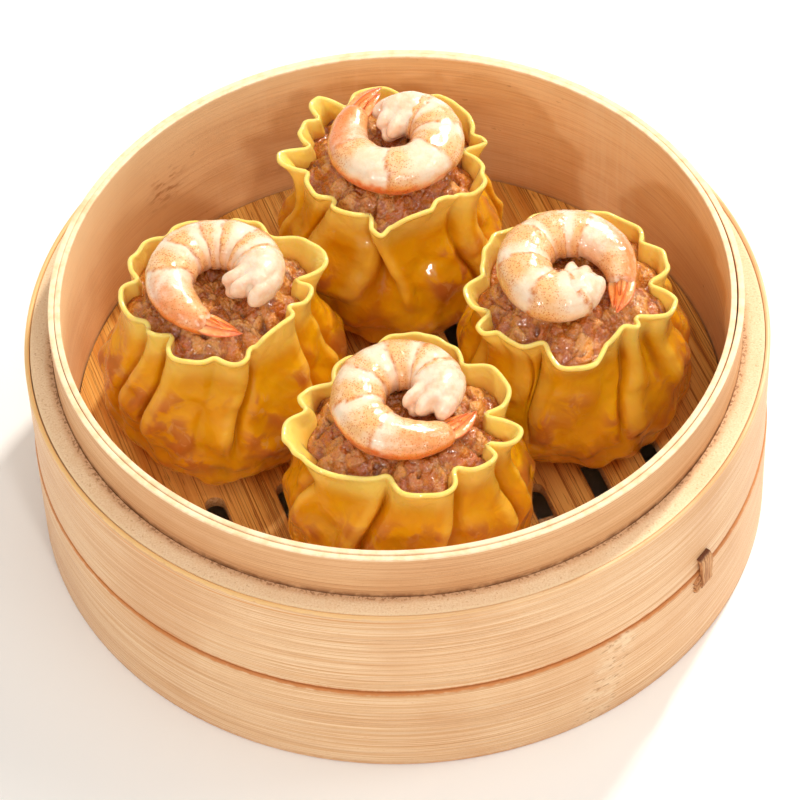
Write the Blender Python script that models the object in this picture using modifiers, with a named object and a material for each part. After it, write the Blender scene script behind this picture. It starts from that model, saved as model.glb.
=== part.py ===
"""Four shrimp-topped shumai in a round bamboo steamer basket.

The basket stands on z = 0 with its axis on the z axis. -Y is the front. All sizes are metres.
"""
import math

import bmesh
import bpy
from mathutils import Vector, noise

MM = 0.001
GAP = 0.3 * MM

# Basket, a 6-inch steamer: hoops by radius and height
RING_STEPS = 56
RIM_INNER_RADIUS = 66.7 * MM
RIM_STRIP = 1.1 * MM
RIM_TOP = 57.0 * MM
OUTER_RIM_TOP = 56.8 * MM
HOOP_FOOT = 13.0 * MM
SHOULDER_INNER_RADIUS = 69.5 * MM
SHOULDER_OUTER_RADIUS = 73.9 * MM
SHOULDER_TOP = 46.2 * MM
SKIN_OUTER_RADIUS = 75.0 * MM
SKIN_TOP = 46.5 * MM
GROOVE_HEIGHT = 23.3 * MM
LOWER_OUTER_RADIUS = 75.3 * MM

# Floor board, slotted along its grain
FLOOR_TOP = 22.8 * MM
FLOOR_THICKNESS = 3.0 * MM
FLOOR_RADIUS = 66.4 * MM
GRAIN_TURN = math.radians(18.0)
SLOT_WIDTH = 4.1 * MM
SLOT_END_STEPS = 5
# Each slot: place across the grain, then where it starts and ends along the grain towards the front, mm
SLOTS = (
    (-44.1, -30.0, -8.0), (-44.1, 10.0, 36.0),
    (-29.5, -30.0, -8.0), (-29.5, 11.5, 46.0),
    (-14.6, -46.0, -26.0), (-14.6, 20.0, 52.0),
    (1.3, -50.0, -26.0), (1.3, 22.0, 54.0),
    (17.2, -34.0, 4.0), (17.2, 30.0, 52.0),
    (30.0, 27.5, 49.0),
    (42.9, 26.0, 42.0),
)
LEDGE_INNER_RADIUS = 63.9 * MM
LEDGE_DEPTH = 5.2 * MM
BAR_WIDTH = 6.0 * MM
BAR_DEPTH = 3.4 * MM
BAR_OFFSET = 40.0 * MM

# Cane stitch that ties the two outer bands together
STITCH_AZIMUTH = math.radians(-39.0)
STITCH_WIDTH = 3.2 * MM
STITCH_HEIGHT = 11.6 * MM
STITCH_MIDDLE = 22.7 * MM
STITCH_THICKNESS = 0.9 * MM
STITCH_BULGE = 0.45
STITCH_SLANT = 0.35

# Shumai, heights measured up from the floor board
DOUGH = 1.4 * MM
FOOT_RADIUS = 17.5 * MM
FILL_EDGE = 34.4 * MM
FILL_DOME = 1.3 * MM
FILL_GAP = 0.45 * MM
LUMP = 1.2 * MM
LUMP_SIZE = 3.6 * MM
GRAIN = 0.55 * MM
GRAIN_SIZE = 1.6 * MM
CROWN_RINGS = (0.9, 0.76, 0.6, 0.42, 0.22)
SHRIMP_SEAT = 37.2 * MM
# Levels of the dough cup: height mm, share of the belly radius, share taken from the frilled rim
CUP_LEVELS = ((0.0, 0.745, 0.0), (1.8, 0.865, 0.0), (5.5, 0.955, 0.0), (12.0, 1.0, 0.0), (18.0, 0.97, 0.06),
              (24.0, 0.90, 0.28), (30.0, 0.82, 0.62), (FILL_EDGE / MM, 0.775, 0.88))
INNER_LEVELS = (6, 5, 3)
CUP_FLOOR = 1.8 * MM
# A lobe's flank lies this far out, and up, between its notch and its crest
FLANK_REACH = 0.72
FLANK_LIFT = 0.6
# The body under the frill keeps this share of each lobe's reach past the mean rim radius
FLUTE_SHARE = 0.05
MEAN_RIM_RADIUS = 18.5 * MM

# Each frill is a run of lobes: notch angle deg, notch radius mm, crest angle deg, crest radius mm, lift mm
SHUMAI = {
    "back": {
        "place": (0.0, 34.5), "belly": 23.0, "rim": 37.0, "twist": -6.0,
        "lobes": ((-165, 17.6, -150, 19.0, 0.3), (-134, 17.2, -119, 17.9, 1.4), (-106, 17.6, -99, 20.4, -0.2),
                  (-91, 17.8, -66, 17.5, 2.1), (-50, 18.2, -29, 20.0, 0.2), (0, 15.4, 8, 20.3, 0.0),
                  (17, 18.1, 32, 19.6, 0.5), (74, 16.8, 103, 20.3, -0.1), (119, 17.4, 130, 22.0, 0.0),
                  (141, 18.1, 152, 20.4, 0.1), (168, 16.2, 180, 22.0, 0.0)),
    },
    "left": {
        "place": (-35.5, -0.3), "belly": 24.2, "rim": 37.1, "twist": -8.0,
        "lobes": ((-189, 16.4, -178, 19.0, 0.0), (-145, 15.9, -135, 17.1, 0.9), (-128, 15.8, -107, 19.2, -0.2),
                  (-94, 17.7, -80, 19.1, -0.3), (-70, 18.2, -52, 17.4, 1.4), (-24, 16.5, -11, 17.8, 0.2),
                  (0, 15.6, 15, 22.1, 0.0), (52, 17.0, 70, 19.0, 0.2), (90, 17.3, 108, 19.0, 0.2),
                  (126, 17.8, 147, 19.5, 0.0)),
    },
    "right": {
        "place": (35.5, -1.5), "belly": 23.4, "rim": 36.5, "twist": 0.0,
        "lobes": ((-187, 18.4, -168, 22.3, 0.0), (-154, 19.1, -146, 23.0, -0.2), (-137, 20.6, -124, 20.8, -0.1),
                  (-111, 17.8, -94, 22.7, -0.5), (-74, 18.4, -60, 17.8, 1.0), (-45, 15.3, -22, 20.2, 0.1),
                  (-8, 14.9, 13, 19.4, 0.0), (33, 16.6, 52, 19.1, 0.1), (86, 16.8, 106, 19.0, 0.0),
                  (123, 17.5, 144, 19.7, 0.0)),
    },
    "front": {
        "place": (1.0, -35.5), "belly": 24.0, "rim": 37.3, "twist": -14.0,
        "lobes": ((-186, 18.0, -168, 22.6, 0.0), (-108, 15.9, -79, 20.8, -0.5), (-58, 17.6, -40, 20.1, 0.3),
                  (-32, 17.6, -20, 21.0, 0.1), (-7, 15.8, 16, 20.6, 0.1), (47, 16.2, 81, 20.7, -0.1),
                  (112, 16.6, 130, 18.1, 0.2), (148, 16.2, 164, 19.4, 0.1)),
    },
}

# Shrimps: centre offset mm, angle of the tail tip deg, turn from tail to head, length of the curl deg
SHRIMPS = {
    "back": {"offset": (1.2, 0.6), "tail": 106.0, "turn": 1, "curl": 374.0},
    "left": {"offset": (0.2, -0.6), "tail": -69.0, "turn": -1, "curl": 342.0},
    "right": {"offset": (-1.0, -0.7), "tail": -52.0, "turn": 1, "curl": 376.0},
    "front": {"offset": (-0.3, 0.2), "tail": -8.0, "turn": -1, "curl": 382.0},
}
SHRIMP_SIDES = 10
BODY_RADIUS = 8.9 * MM
TAIL_REACH = 4.6 * MM
TAIL_REACH_FADE = 38.0
HEAD_TUCK = 3.6 * MM
HEAD_TUCK_START = 290.0
HEAD_TUCK_LENGTH = 90.0
SEGMENT_STEP = 0.35 * MM
FIRST_SEGMENT = 30.0
SEGMENT_LENGTH = 47.0
# Girth from tail tip to head end: place along the curl deg, half width mm, half height mm
GIRTH = ((0.0, 0.5, 0.5), (10.0, 1.9, 0.8), (21.0, 2.0, 1.2), (30.0, 2.7, 2.0), (60.0, 3.8, 3.0),
         (100.0, 4.7, 3.7), (180.0, 5.2, 4.0), (280.0, 5.2, 4.1), (330.0, 4.9, 4.1))
HEAD_END = ((-16.0, 4.3, 3.9), (-6.0, 3.6, 3.4), (0.0, 2.2, 2.2))


def clear_scene():
    """Remove every object, so that only this model is left."""
    for item in list(bpy.data.objects):
        bpy.data.objects.remove(item, do_unlink=True)


def finish_material(name, colour, roughness, metallic=0.0):
    """A plain Principled material."""
    material = bpy.data.materials.new(name)
    material.use_nodes = True
    shader = material.node_tree.nodes["Principled BSDF"]
    shader.inputs["Base Color"].default_value = (*colour, 1.0)
    shader.inputs["Roughness"].default_value = roughness
    shader.inputs["Metallic"].default_value = metallic
    return material


def place(name, data, material, collection):
    """Link a mesh or curve as a named object of the steamer."""
    item = bpy.data.objects.new(name, data)
    data.materials.append(material)
    collection.objects.link(item)
    return item


def smooth_rounds(mesh, sharp_angle=40.0):
    """Shade a mesh smooth and keep its real edges sharp."""
    mesh.shade_smooth()
    mesh.set_sharp_from_angle(angle=math.radians(sharp_angle))


def turned_ring(name, inner, outer, low, high, material, collection):
    """A hoop: its square section is turned round the z axis."""
    profile = bpy.data.meshes.new(name)
    corners = [(outer, 0, high), (outer, 0, low), (inner, 0, low), (inner, 0, high)]
    profile.from_pydata(corners, [(0, 1), (1, 2), (2, 3), (3, 0)], [])
    ring = place(name, profile, material, collection)
    screw = ring.modifiers.new("turn", "SCREW")
    screw.angle = math.tau
    screw.axis = "Z"
    screw.steps = RING_STEPS
    screw.render_steps = RING_STEPS
    screw.use_merge_vertices = True
    screw.merge_threshold = 0.0001
    return ring


def add_outline(curve, points):
    """Add a closed straight-sided outline to a flat curve."""
    spline = curve.splines.new("POLY")
    spline.points.add(len(points) - 1)
    for knot, (x, y) in zip(spline.points, points):
        knot.co = (x, y, 0.0, 1.0)
    spline.use_cyclic_u = True


def slot_outline(across, start, end):
    """A long slot with round ends, laid along the grain of the floor board."""
    radius = SLOT_WIDTH / 2
    points = []
    for centre, turn in ((start + radius, math.pi), (end - radius, 0.0)):
        for step in range(SLOT_END_STEPS + 1):
            angle = turn + math.pi * step / SLOT_END_STEPS
            along = centre + radius * math.sin(angle)
            aside = across + radius * math.cos(angle)
            x = aside * math.cos(GRAIN_TURN) + along * math.sin(GRAIN_TURN)
            y = aside * math.sin(GRAIN_TURN) - along * math.cos(GRAIN_TURN)
            points.append((x, y))
    return points


def floor_board(material, collection):
    """The slotted bamboo board that the shumai stand on."""
    curve = bpy.data.curves.new("floor_board", "CURVE")
    curve.dimensions = "2D"
    curve.fill_mode = "BOTH"
    curve.extrude = FLOOR_THICKNESS / 2
    add_outline(curve, [(FLOOR_RADIUS * math.cos(math.tau * step / RING_STEPS),
                         FLOOR_RADIUS * math.sin(math.tau * step / RING_STEPS)) for step in range(RING_STEPS)])
    for across, start, end in SLOTS:
        add_outline(curve, slot_outline(across * MM, start * MM, end * MM))
    board = place("floor_board", curve, material, collection)
    board.location.z = FLOOR_TOP - FLOOR_THICKNESS / 2


def support_bars(material, collection):
    """Two flat bars that cross under the board inside the ledge hoop."""
    reach = LEDGE_INNER_RADIUS - 2 * GAP
    length = 2 * math.sqrt(reach ** 2 - (BAR_OFFSET + BAR_WIDTH / 2) ** 2)
    for name, offset in (("floor_bar_front", -BAR_OFFSET), ("floor_bar_back", BAR_OFFSET)):
        mesh = bpy.data.meshes.new(name)
        bar = bmesh.new()
        bmesh.ops.create_cube(bar, size=1.0)
        bmesh.ops.scale(bar, vec=(length, BAR_WIDTH, BAR_DEPTH), verts=bar.verts)
        bar.to_mesh(mesh)
        bar.free()
        item = place(name, mesh, material, collection)
        item.location = (-offset * math.sin(GRAIN_TURN), offset * math.cos(GRAIN_TURN),
                         FLOOR_TOP - FLOOR_THICKNESS - GAP - BAR_DEPTH / 2)
        item.rotation_euler.z = GRAIN_TURN


def cane_stitch(material, collection):
    """A short cane strip laid over the groove, its ends bent in towards the bands."""
    mesh = bpy.data.meshes.new("cane_stitch")
    strip = bmesh.new()
    bmesh.ops.create_cube(strip, size=1.0)
    bmesh.ops.scale(strip, vec=(STITCH_THICKNESS, STITCH_WIDTH, STITCH_HEIGHT), verts=strip.verts)
    upright = [edge for edge in strip.edges if abs(edge.verts[0].co.z - edge.verts[1].co.z) > STITCH_WIDTH]
    bmesh.ops.subdivide_edges(strip, edges=upright, cuts=5, use_grid_fill=True)
    for vert in strip.verts:
        share = abs(vert.co.z) / (STITCH_HEIGHT / 2)
        if vert.co.x > 0:
            vert.co.x += STITCH_BULGE * STITCH_THICKNESS * (1 - share ** 2)
        vert.co.y += STITCH_SLANT * STITCH_WIDTH * vert.co.z / STITCH_HEIGHT
    strip.to_mesh(mesh)
    strip.free()
    item = place("cane_stitch", mesh, material, collection)
    radius = LOWER_OUTER_RADIUS + GAP + STITCH_THICKNESS / 2
    item.location = (radius * math.cos(STITCH_AZIMUTH), radius * math.sin(STITCH_AZIMUTH), STITCH_MIDDLE)
    item.rotation_euler.z = STITCH_AZIMUTH
    bevel = item.modifiers.new("soft edges", "BEVEL")
    bevel.width = 0.25 * MM
    bevel.segments = 1


def lofted_solid(name, rings, low_pole, high_pole, material, collection):
    """Close a run of equal rings into one solid, with a fan to a pole at each end."""
    count = len(rings[0])
    points = [low_pole] + [point for ring in rings for point in ring] + [high_pole]
    top = len(points) - 1
    faces = []
    for side in range(count):
        follow = (side + 1) % count
        faces.append((0, 1 + follow, 1 + side))
        for level in range(len(rings) - 1):
            base = 1 + level * count
            faces.append((base + side, base + follow, base + count + follow))
            faces.append((base + side, base + count + follow, base + count + side))
        last = 1 + (len(rings) - 1) * count
        faces.append((last + side, last + follow, top))
    mesh = bpy.data.meshes.new(name)
    mesh.from_pydata(points, [], faces)
    smooth_rounds(mesh)
    return place(name, mesh, material, collection)


def flank(notch, notch_radius, crest, crest_radius, lift):
    """The rim point halfway between a notch and a crest, as angle, radius and lift."""
    radius = notch_radius + FLANK_REACH * (crest_radius - notch_radius)
    return (notch + crest) / 2, radius, FLANK_LIFT * lift


def rim_columns(shumai):
    """Rim points of one frill as angle, radius and height: notch, flank, crest, flank of every lobe."""
    lobes = shumai["lobes"]
    columns = []
    for number, (notch, notch_radius, crest, crest_radius, lift) in enumerate(lobes):
        following = lobes[(number + 1) % len(lobes)]
        end = following[0] + (360 if number == len(lobes) - 1 else 0)
        columns.append((notch, notch_radius, 0.0))
        columns.append(flank(notch, notch_radius, crest, crest_radius, lift))
        columns.append((crest, crest_radius, lift))
        columns.append(flank(end, following[1], crest, crest_radius, lift))
    return [(math.radians(angle), radius * MM, (shumai["rim"] + lift) * MM) for angle, radius, lift in columns]


def cup_radius(shumai, level, rim_radius):
    """Outer radius of the dough at a level under one rim point."""
    _, belly_share, rim_share = CUP_LEVELS[level]
    body = shumai["belly"] * MM * belly_share
    flute = FLUTE_SHARE * (rim_radius - MEAN_RIM_RADIUS) * (1 - rim_share)
    return body * (1 - rim_share) + rim_radius * rim_share + flute


def cup_point(shumai, angle, rim_share, radius, height):
    """World point at a turn round the shumai's axis, drifting down its pleats."""
    turned = angle + math.radians(shumai["twist"]) * (1 - rim_share)
    x, y = shumai["place"]
    return (x * MM + radius * math.cos(turned), y * MM + radius * math.sin(turned), FLOOR_TOP + GAP + height)


def cup_ring(shumai, columns, level, inset=0.0, lower=0.0):
    """One level of the dough cup, or of what fills it when it is inset."""
    level_mm, _, rim_share = CUP_LEVELS[level]
    height = level_mm * MM - lower
    return [cup_point(shumai, angle, rim_share, cup_radius(shumai, level, radius) - inset, height)
            for angle, radius, _ in columns]


def wrapper(name, shumai, material, collection):
    """The pleated dough cup: its outside from the foot up, over the frilled rim, and down its inside."""
    columns = rim_columns(shumai)
    rings = [cup_ring(shumai, columns, level) for level in range(len(CUP_LEVELS))]
    rings.append([cup_point(shumai, angle, 1.0, radius, height) for angle, radius, height in columns])
    rings.append([cup_point(shumai, angle, 1.0, radius - DOUGH, height) for angle, radius, height in columns])
    rings.append(cup_ring(shumai, columns, len(CUP_LEVELS) - 1, inset=DOUGH))
    rings.extend(cup_ring(shumai, columns, level, inset=DOUGH) for level in INNER_LEVELS)
    rings.append([cup_point(shumai, angle, 0.0, FOOT_RADIUS - DOUGH, CUP_FLOOR) for angle, _, _ in columns])
    x, y = shumai["place"]
    foot = (x * MM, y * MM, FLOOR_TOP + GAP)
    hollow = (x * MM, y * MM, FLOOR_TOP + GAP + CUP_FLOOR)
    return lofted_solid(name, rings, foot, hollow, material, collection)


def lump_height(x, y):
    """Relief of the minced filling at a place."""
    coarse = noise.noise(Vector((x, y, 0.0)) / LUMP_SIZE)
    fine = noise.noise(Vector((x, y, LUMP_SIZE)) / GRAIN_SIZE)
    return LUMP * coarse + GRAIN * fine


def filling(name, shumai, material, collection):
    """The minced filling: it runs down through the cup and crowns in a lumpy top under the shrimp."""
    columns = rim_columns(shumai)[::2]
    top = len(CUP_LEVELS) - 1
    inset = DOUGH + FILL_GAP
    bottom = CUP_FLOOR + FILL_GAP
    rings = [[cup_point(shumai, angle, 0.0, FOOT_RADIUS - inset, bottom) for angle, _, _ in columns]]
    rings.extend(cup_ring(shumai, columns, level, inset=inset) for level in reversed(INNER_LEVELS))
    edge = cup_ring(shumai, columns, top, inset=inset, lower=FILL_GAP)
    rings.append(edge)
    centre_x, centre_y = (value * MM for value in shumai["place"])
    ceiling = FLOOR_TOP + SHRIMP_SEAT - GAP
    crown = FLOOR_TOP + FILL_EDGE + FILL_DOME
    for share in CROWN_RINGS:
        ring = []
        for x, y, z in edge:
            px = centre_x + (x - centre_x) * share
            py = centre_y + (y - centre_y) * share
            rise = z + (crown - z) * (1 - share ** 2) + lump_height(px, py)
            ring.append((px, py, min(rise, ceiling)))
        rings.append(ring)
    low_pole = (centre_x, centre_y, FLOOR_TOP + GAP + bottom)
    high_pole = (centre_x, centre_y, min(crown, ceiling))
    return lofted_solid(name, rings, low_pole, high_pole, material, collection)


def blend_table(table, place_along):
    """Straight interpolation in rows of place, half width, half height."""
    for (start, width, height), (end, next_width, next_height) in zip(table, table[1:]):
        if place_along <= end:
            share = (place_along - start) / (end - start)
            return width + (next_width - width) * share, height + (next_height - height) * share
    return table[-1][1:]


def shrimp_stations(curl):
    """Places along the curl where the shrimp gets a ring: tail, both ends and middle of each segment, head."""
    stations = [(turn, 0.0) for turn in (0.0, 5.0, 10.0, 15.0, 21.0, 28.0)]
    start = FIRST_SEGMENT
    while start + SEGMENT_LENGTH < curl - 20.0:
        stations.append((start + 1.5, 1.0))
        stations.append((start + SEGMENT_LENGTH / 2, 0.5))
        stations.append((start + SEGMENT_LENGTH - 1.5, 0.0))
        start += SEGMENT_LENGTH
    if curl - 18.0 - start > 12.0:
        stations.append((start + 1.5, 1.0))
    stations.extend((curl + back, 0.0) for back, _, _ in HEAD_END)
    return stations


def shrimp(name, shumai, curl_plan, material, collection):
    """The peeled shrimp curled on top: one tapered body from its tail to its cut head end."""
    curl = curl_plan["curl"]
    ends = tuple((curl + back, width, height) for back, width, height in HEAD_END)
    girth = tuple(row for row in GIRTH if row[0] < curl - 20.0) + ends
    x, y = (base * MM + shift * MM for base, shift in zip(shumai["place"], curl_plan["offset"]))
    rings = []
    for along, step in shrimp_stations(curl):
        width, height = (value * MM + SEGMENT_STEP * step for value in blend_table(girth, along))
        tuck = min(max((along - HEAD_TUCK_START) / HEAD_TUCK_LENGTH, 0.0), 1.0)
        reach = BODY_RADIUS + TAIL_REACH * math.exp(-along / TAIL_REACH_FADE) - HEAD_TUCK * tuck
        angle = math.radians(curl_plan["tail"] + curl_plan["turn"] * along)
        level = FLOOR_TOP + SHRIMP_SEAT + height
        ring = []
        for side in range(SHRIMP_SIDES):
            around = -curl_plan["turn"] * math.tau * side / SHRIMP_SIDES
            out = reach + width * math.cos(around)
            rise = height * math.sin(around)
            ring.append((x + out * math.cos(angle), y + out * math.sin(angle), level + rise))
        rings.append(ring)
    poles = []
    for ring in (rings[0], rings[-1]):
        poles.append(tuple(sum(values) / len(ring) for values in zip(*ring)))
    return lofted_solid(name, rings, poles[0], poles[1], material, collection)


def build_basket(collection):
    """Every piece of the bamboo steamer."""
    pale = finish_material("bamboo_pale", (0.78, 0.58, 0.36), 0.55)
    warm = finish_material("bamboo_warm", (0.62, 0.34, 0.14), 0.6)
    end_grain = finish_material("bamboo_end_grain", (0.74, 0.60, 0.42), 0.85)
    cane = finish_material("cane", (0.42, 0.22, 0.10), 0.7)
    strip_split = RIM_INNER_RADIUS + RIM_STRIP
    outer_strip = strip_split + GAP
    above_groove = GROOVE_HEIGHT + GAP / 2
    below_groove = GROOVE_HEIGHT - GAP / 2
    ledge_top = FLOOR_TOP - FLOOR_THICKNESS - GAP
    hoops = (
        ("rim_inner_strip", RIM_INNER_RADIUS, strip_split, HOOP_FOOT, RIM_TOP, pale),
        ("rim_outer_strip", outer_strip, outer_strip + RIM_STRIP, HOOP_FOOT, OUTER_RIM_TOP, pale),
        ("shoulder_band", SHOULDER_INNER_RADIUS, SHOULDER_OUTER_RADIUS, above_groove, SHOULDER_TOP, end_grain),
        ("upper_skin_band", SHOULDER_OUTER_RADIUS + GAP, SKIN_OUTER_RADIUS, above_groove, SKIN_TOP, pale),
        ("lower_band", SHOULDER_INNER_RADIUS, LOWER_OUTER_RADIUS, 0.0, below_groove, pale),
        ("floor_ledge", LEDGE_INNER_RADIUS, RIM_INNER_RADIUS - GAP, ledge_top - LEDGE_DEPTH, ledge_top, warm),
    )
    for name, inner, outer, low, high, material in hoops:
        turned_ring(name, inner, outer, low, high, material, collection)
    floor_board(warm, collection)
    support_bars(warm, collection)
    cane_stitch(cane, collection)


def build_food(collection):
    """Four shumai, each a dough cup, its filling and a shrimp."""
    dough = finish_material("dough", (0.85, 0.53, 0.10), 0.3)
    mince = finish_material("pork_mince", (0.52, 0.27, 0.18), 0.45)
    prawn = finish_material("shrimp", (0.92, 0.66, 0.46), 0.35)
    for corner, shumai in SHUMAI.items():
        wrapper("wrapper_" + corner, shumai, dough, collection)
        filling("filling_" + corner, shumai, mince, collection)
        shrimp("shrimp_" + corner, shumai, SHRIMPS[corner], prawn, collection)


def main():
    clear_scene()
    collection = bpy.data.collections.new("shumai_steamer")
    bpy.context.scene.collection.children.link(collection)
    build_basket(collection)
    build_food(collection)


main()
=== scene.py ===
"""Looks of four shumai with curled shrimps in a round bamboo steamer basket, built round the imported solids."""

import math

import bmesh
import bpy
from mathutils import Matrix, Vector, noise


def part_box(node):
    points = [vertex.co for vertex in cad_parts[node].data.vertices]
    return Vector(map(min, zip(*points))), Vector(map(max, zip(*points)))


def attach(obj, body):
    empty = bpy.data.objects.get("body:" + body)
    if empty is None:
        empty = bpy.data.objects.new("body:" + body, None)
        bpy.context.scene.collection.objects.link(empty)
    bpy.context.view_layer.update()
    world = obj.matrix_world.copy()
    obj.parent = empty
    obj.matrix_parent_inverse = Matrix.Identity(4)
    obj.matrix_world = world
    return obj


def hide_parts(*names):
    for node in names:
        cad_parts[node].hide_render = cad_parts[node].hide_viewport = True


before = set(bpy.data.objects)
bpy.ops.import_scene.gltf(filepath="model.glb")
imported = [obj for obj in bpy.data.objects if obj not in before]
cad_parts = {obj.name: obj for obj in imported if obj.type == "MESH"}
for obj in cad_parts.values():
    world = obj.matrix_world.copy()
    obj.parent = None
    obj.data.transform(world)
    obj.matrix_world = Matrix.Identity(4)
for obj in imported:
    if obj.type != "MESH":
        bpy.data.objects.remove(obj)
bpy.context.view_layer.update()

MM = 0.001

# The steamer, read from the solids
FLOOR_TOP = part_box("floor_board")[1][2]
FLOOR_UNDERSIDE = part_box("floor_board")[0][2]
FLOOR_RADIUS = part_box("floor_board")[1][0]
RIM_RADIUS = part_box("rim_inner_strip")[1][0] - 1.1 * MM
RIM_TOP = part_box("rim_inner_strip")[1][2]
RIM_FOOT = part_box("rim_inner_strip")[0][2]
STRIP_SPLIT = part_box("rim_inner_strip")[1][0]
STRIP_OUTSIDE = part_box("rim_outer_strip")[1][0]
SHOULDER_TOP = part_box("shoulder_band")[1][2]
SHOULDER_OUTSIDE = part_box("shoulder_band")[1][0]
SHOULDER_INSIDE = 69.5 * MM
SKIN_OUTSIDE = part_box("upper_skin_band")[1][0]
SKIN_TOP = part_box("upper_skin_band")[1][2]
GROOVE_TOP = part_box("upper_skin_band")[0][2]
LOWER_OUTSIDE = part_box("lower_band")[1][0]
LOWER_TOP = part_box("lower_band")[1][2]
LEDGE_INSIDE = 63.9 * MM
HOOP_STEPS = 288

# Floor slots lie along the grain: place across it, then start and end along it towards the front, mm
GRAIN_TURN = math.radians(18.0)
SLOT_WIDTH = 4.1
SLOTS = (
    (-44.1, -30.0, -8.0), (-44.1, 10.0, 36.0), (-29.5, -30.0, -8.0), (-29.5, 11.5, 46.0),
    (-14.6, -46.0, -26.0), (-14.6, 20.0, 52.0), (1.3, -50.0, -26.0), (1.3, 22.0, 54.0),
    (17.2, -34.0, 4.0), (17.2, 30.0, 52.0), (30.0, 27.5, 49.0), (42.9, 26.0, 42.0),
)
STITCH_AZIMUTH = math.radians(-39.0)
NODE_MARK_AZIMUTH = math.radians(-56.6)

# The photograph's view
CAMERA_PLACE = Vector((0.0, -0.5156, 0.6126))
CAMERA_AIM = Vector((0.0, 0.0, 0.0234))
CAMERA_ROLL = math.radians(-2.53)
CAMERA_LENS = 171.2


def tone(red, green, blue):
    """A colour given as it looks on a screen, 0 to 255, as the linear colour that a shader takes."""
    return tuple(((value / 255 + 0.055) / 1.055) ** 2.4 for value in (red, green, blue)) + (1.0,)


# Camera, light and floor

def set_camera():
    """Stand the camera where the photograph was taken from."""
    view = bpy.data.cameras.new("photo_view")
    view.lens = CAMERA_LENS
    view.clip_end = 10.0
    camera = bpy.data.objects.new("photo_view", view)
    bpy.context.scene.collection.objects.link(camera)
    ahead = (CAMERA_AIM - CAMERA_PLACE).normalized()
    right = ahead.cross(Vector((0, 0, 1))).normalized()
    up = right.cross(ahead)
    tilted_right = right * math.cos(CAMERA_ROLL) + up * math.sin(CAMERA_ROLL)
    tilted_up = up * math.cos(CAMERA_ROLL) - right * math.sin(CAMERA_ROLL)
    turn = Matrix((tilted_right, tilted_up, -ahead)).transposed()
    camera.matrix_world = Matrix.Translation(CAMERA_PLACE) @ turn.to_4x4()
    bpy.context.scene.camera = camera


def softbox(name, azimuth, elevation, distance, size, power, colour):
    """A square studio light that faces the food."""
    lamp = bpy.data.lights.new(name, "AREA")
    lamp.shape = "SQUARE"
    lamp.size = size
    lamp.energy = power
    lamp.color = colour
    light = bpy.data.objects.new(name, lamp)
    bpy.context.scene.collection.objects.link(light)
    flat = distance * math.cos(math.radians(elevation))
    place = Vector((flat * math.cos(math.radians(azimuth)), flat * math.sin(math.radians(azimuth)),
                    distance * math.sin(math.radians(elevation))))
    light.location = place
    light.rotation_euler = place.to_track_quat("Z", "Y").to_euler()


def light_studio():
    """A key light from the back right, small softboxes that glint on wet food, a top fill and a pale surround."""
    softbox("key_light", 58.0, 46.0, 1.5, 0.12, 17.5, (1.0, 0.95, 0.87))
    softbox("front_left", -128.0, 34.0, 1.4, 0.07, 3.0, (1.0, 0.975, 0.94))
    softbox("front_right", -72.0, 40.0, 1.4, 0.12, 3.0, (1.0, 0.975, 0.94))
    softbox("right_fill", 8.0, 46.0, 1.4, 0.3, 2.4, (1.0, 0.96, 0.9))
    softbox("top_fill", -70.0, 78.0, 1.4, 1.0, 3.0, (1.0, 0.975, 0.94))
    world = bpy.data.worlds.new("pale_surround")
    bpy.context.scene.world = world
    world.use_nodes = True
    surround = world.node_tree.nodes["Background"]
    surround.inputs["Color"].default_value = (1.0, 0.965, 0.915, 1.0)
    surround.inputs["Strength"].default_value = 0.5
    bpy.context.scene.view_settings.view_transform = "Standard"


# Material building

def start_material(name):
    """A new Principled material with its tree, its shader and its Object coordinates."""
    material = bpy.data.materials.new(name)
    material.use_nodes = True
    tree = material.node_tree
    shader = tree.nodes["Principled BSDF"]
    place = tree.nodes.new("ShaderNodeTexCoord").outputs["Object"]
    return material, tree, shader, place


def plug(tree, socket, value):
    """Set a socket, or link it when the value comes from another node."""
    if isinstance(value, bpy.types.NodeSocket):
        tree.links.new(value, socket)
    else:
        socket.default_value = value


def stretched(tree, place, scale, turn=0.0):
    """Coordinates that are turned about the upright axis, then stretched."""
    mapping = tree.nodes.new("ShaderNodeMapping")
    mapping.vector_type = "POINT"
    tree.links.new(place, mapping.inputs["Vector"])
    if turn:
        spun = tree.nodes.new("ShaderNodeVectorRotate")
        spun.rotation_type = "Z_AXIS"
        tree.links.new(place, spun.inputs["Vector"])
        spun.inputs["Angle"].default_value = turn
        tree.links.new(spun.outputs["Vector"], mapping.inputs["Vector"])
    mapping.inputs["Scale"].default_value = scale
    return mapping.outputs["Vector"]


def mottle(tree, place, scale, detail=3.0, rough=0.55, warp=0.0):
    """Soft noise from 0 to 1."""
    cloud = tree.nodes.new("ShaderNodeTexNoise")
    tree.links.new(place, cloud.inputs["Vector"])
    cloud.inputs["Scale"].default_value = scale
    cloud.inputs["Detail"].default_value = detail
    cloud.inputs["Roughness"].default_value = rough
    cloud.inputs["Distortion"].default_value = warp
    return cloud.outputs["Fac"]


def cells(tree, place, scale, feature="F1"):
    """Distance to the nearest of many scattered points."""
    scatter = tree.nodes.new("ShaderNodeTexVoronoi")
    scatter.feature = feature
    tree.links.new(place, scatter.inputs["Vector"])
    scatter.inputs["Scale"].default_value = scale
    return scatter.outputs["Distance"]


def between(tree, value, low, high, to_low=0.0, to_high=1.0):
    """Stretch the part of a value between low and high over a new range, smoothly and clamped."""
    fit = tree.nodes.new("ShaderNodeMapRange")
    fit.interpolation_type = "SMOOTHSTEP"
    tree.links.new(value, fit.inputs["Value"])
    fit.inputs["From Min"].default_value = low
    fit.inputs["From Max"].default_value = high
    fit.inputs["To Min"].default_value = to_low
    fit.inputs["To Max"].default_value = to_high
    return fit.outputs["Result"]


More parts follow.
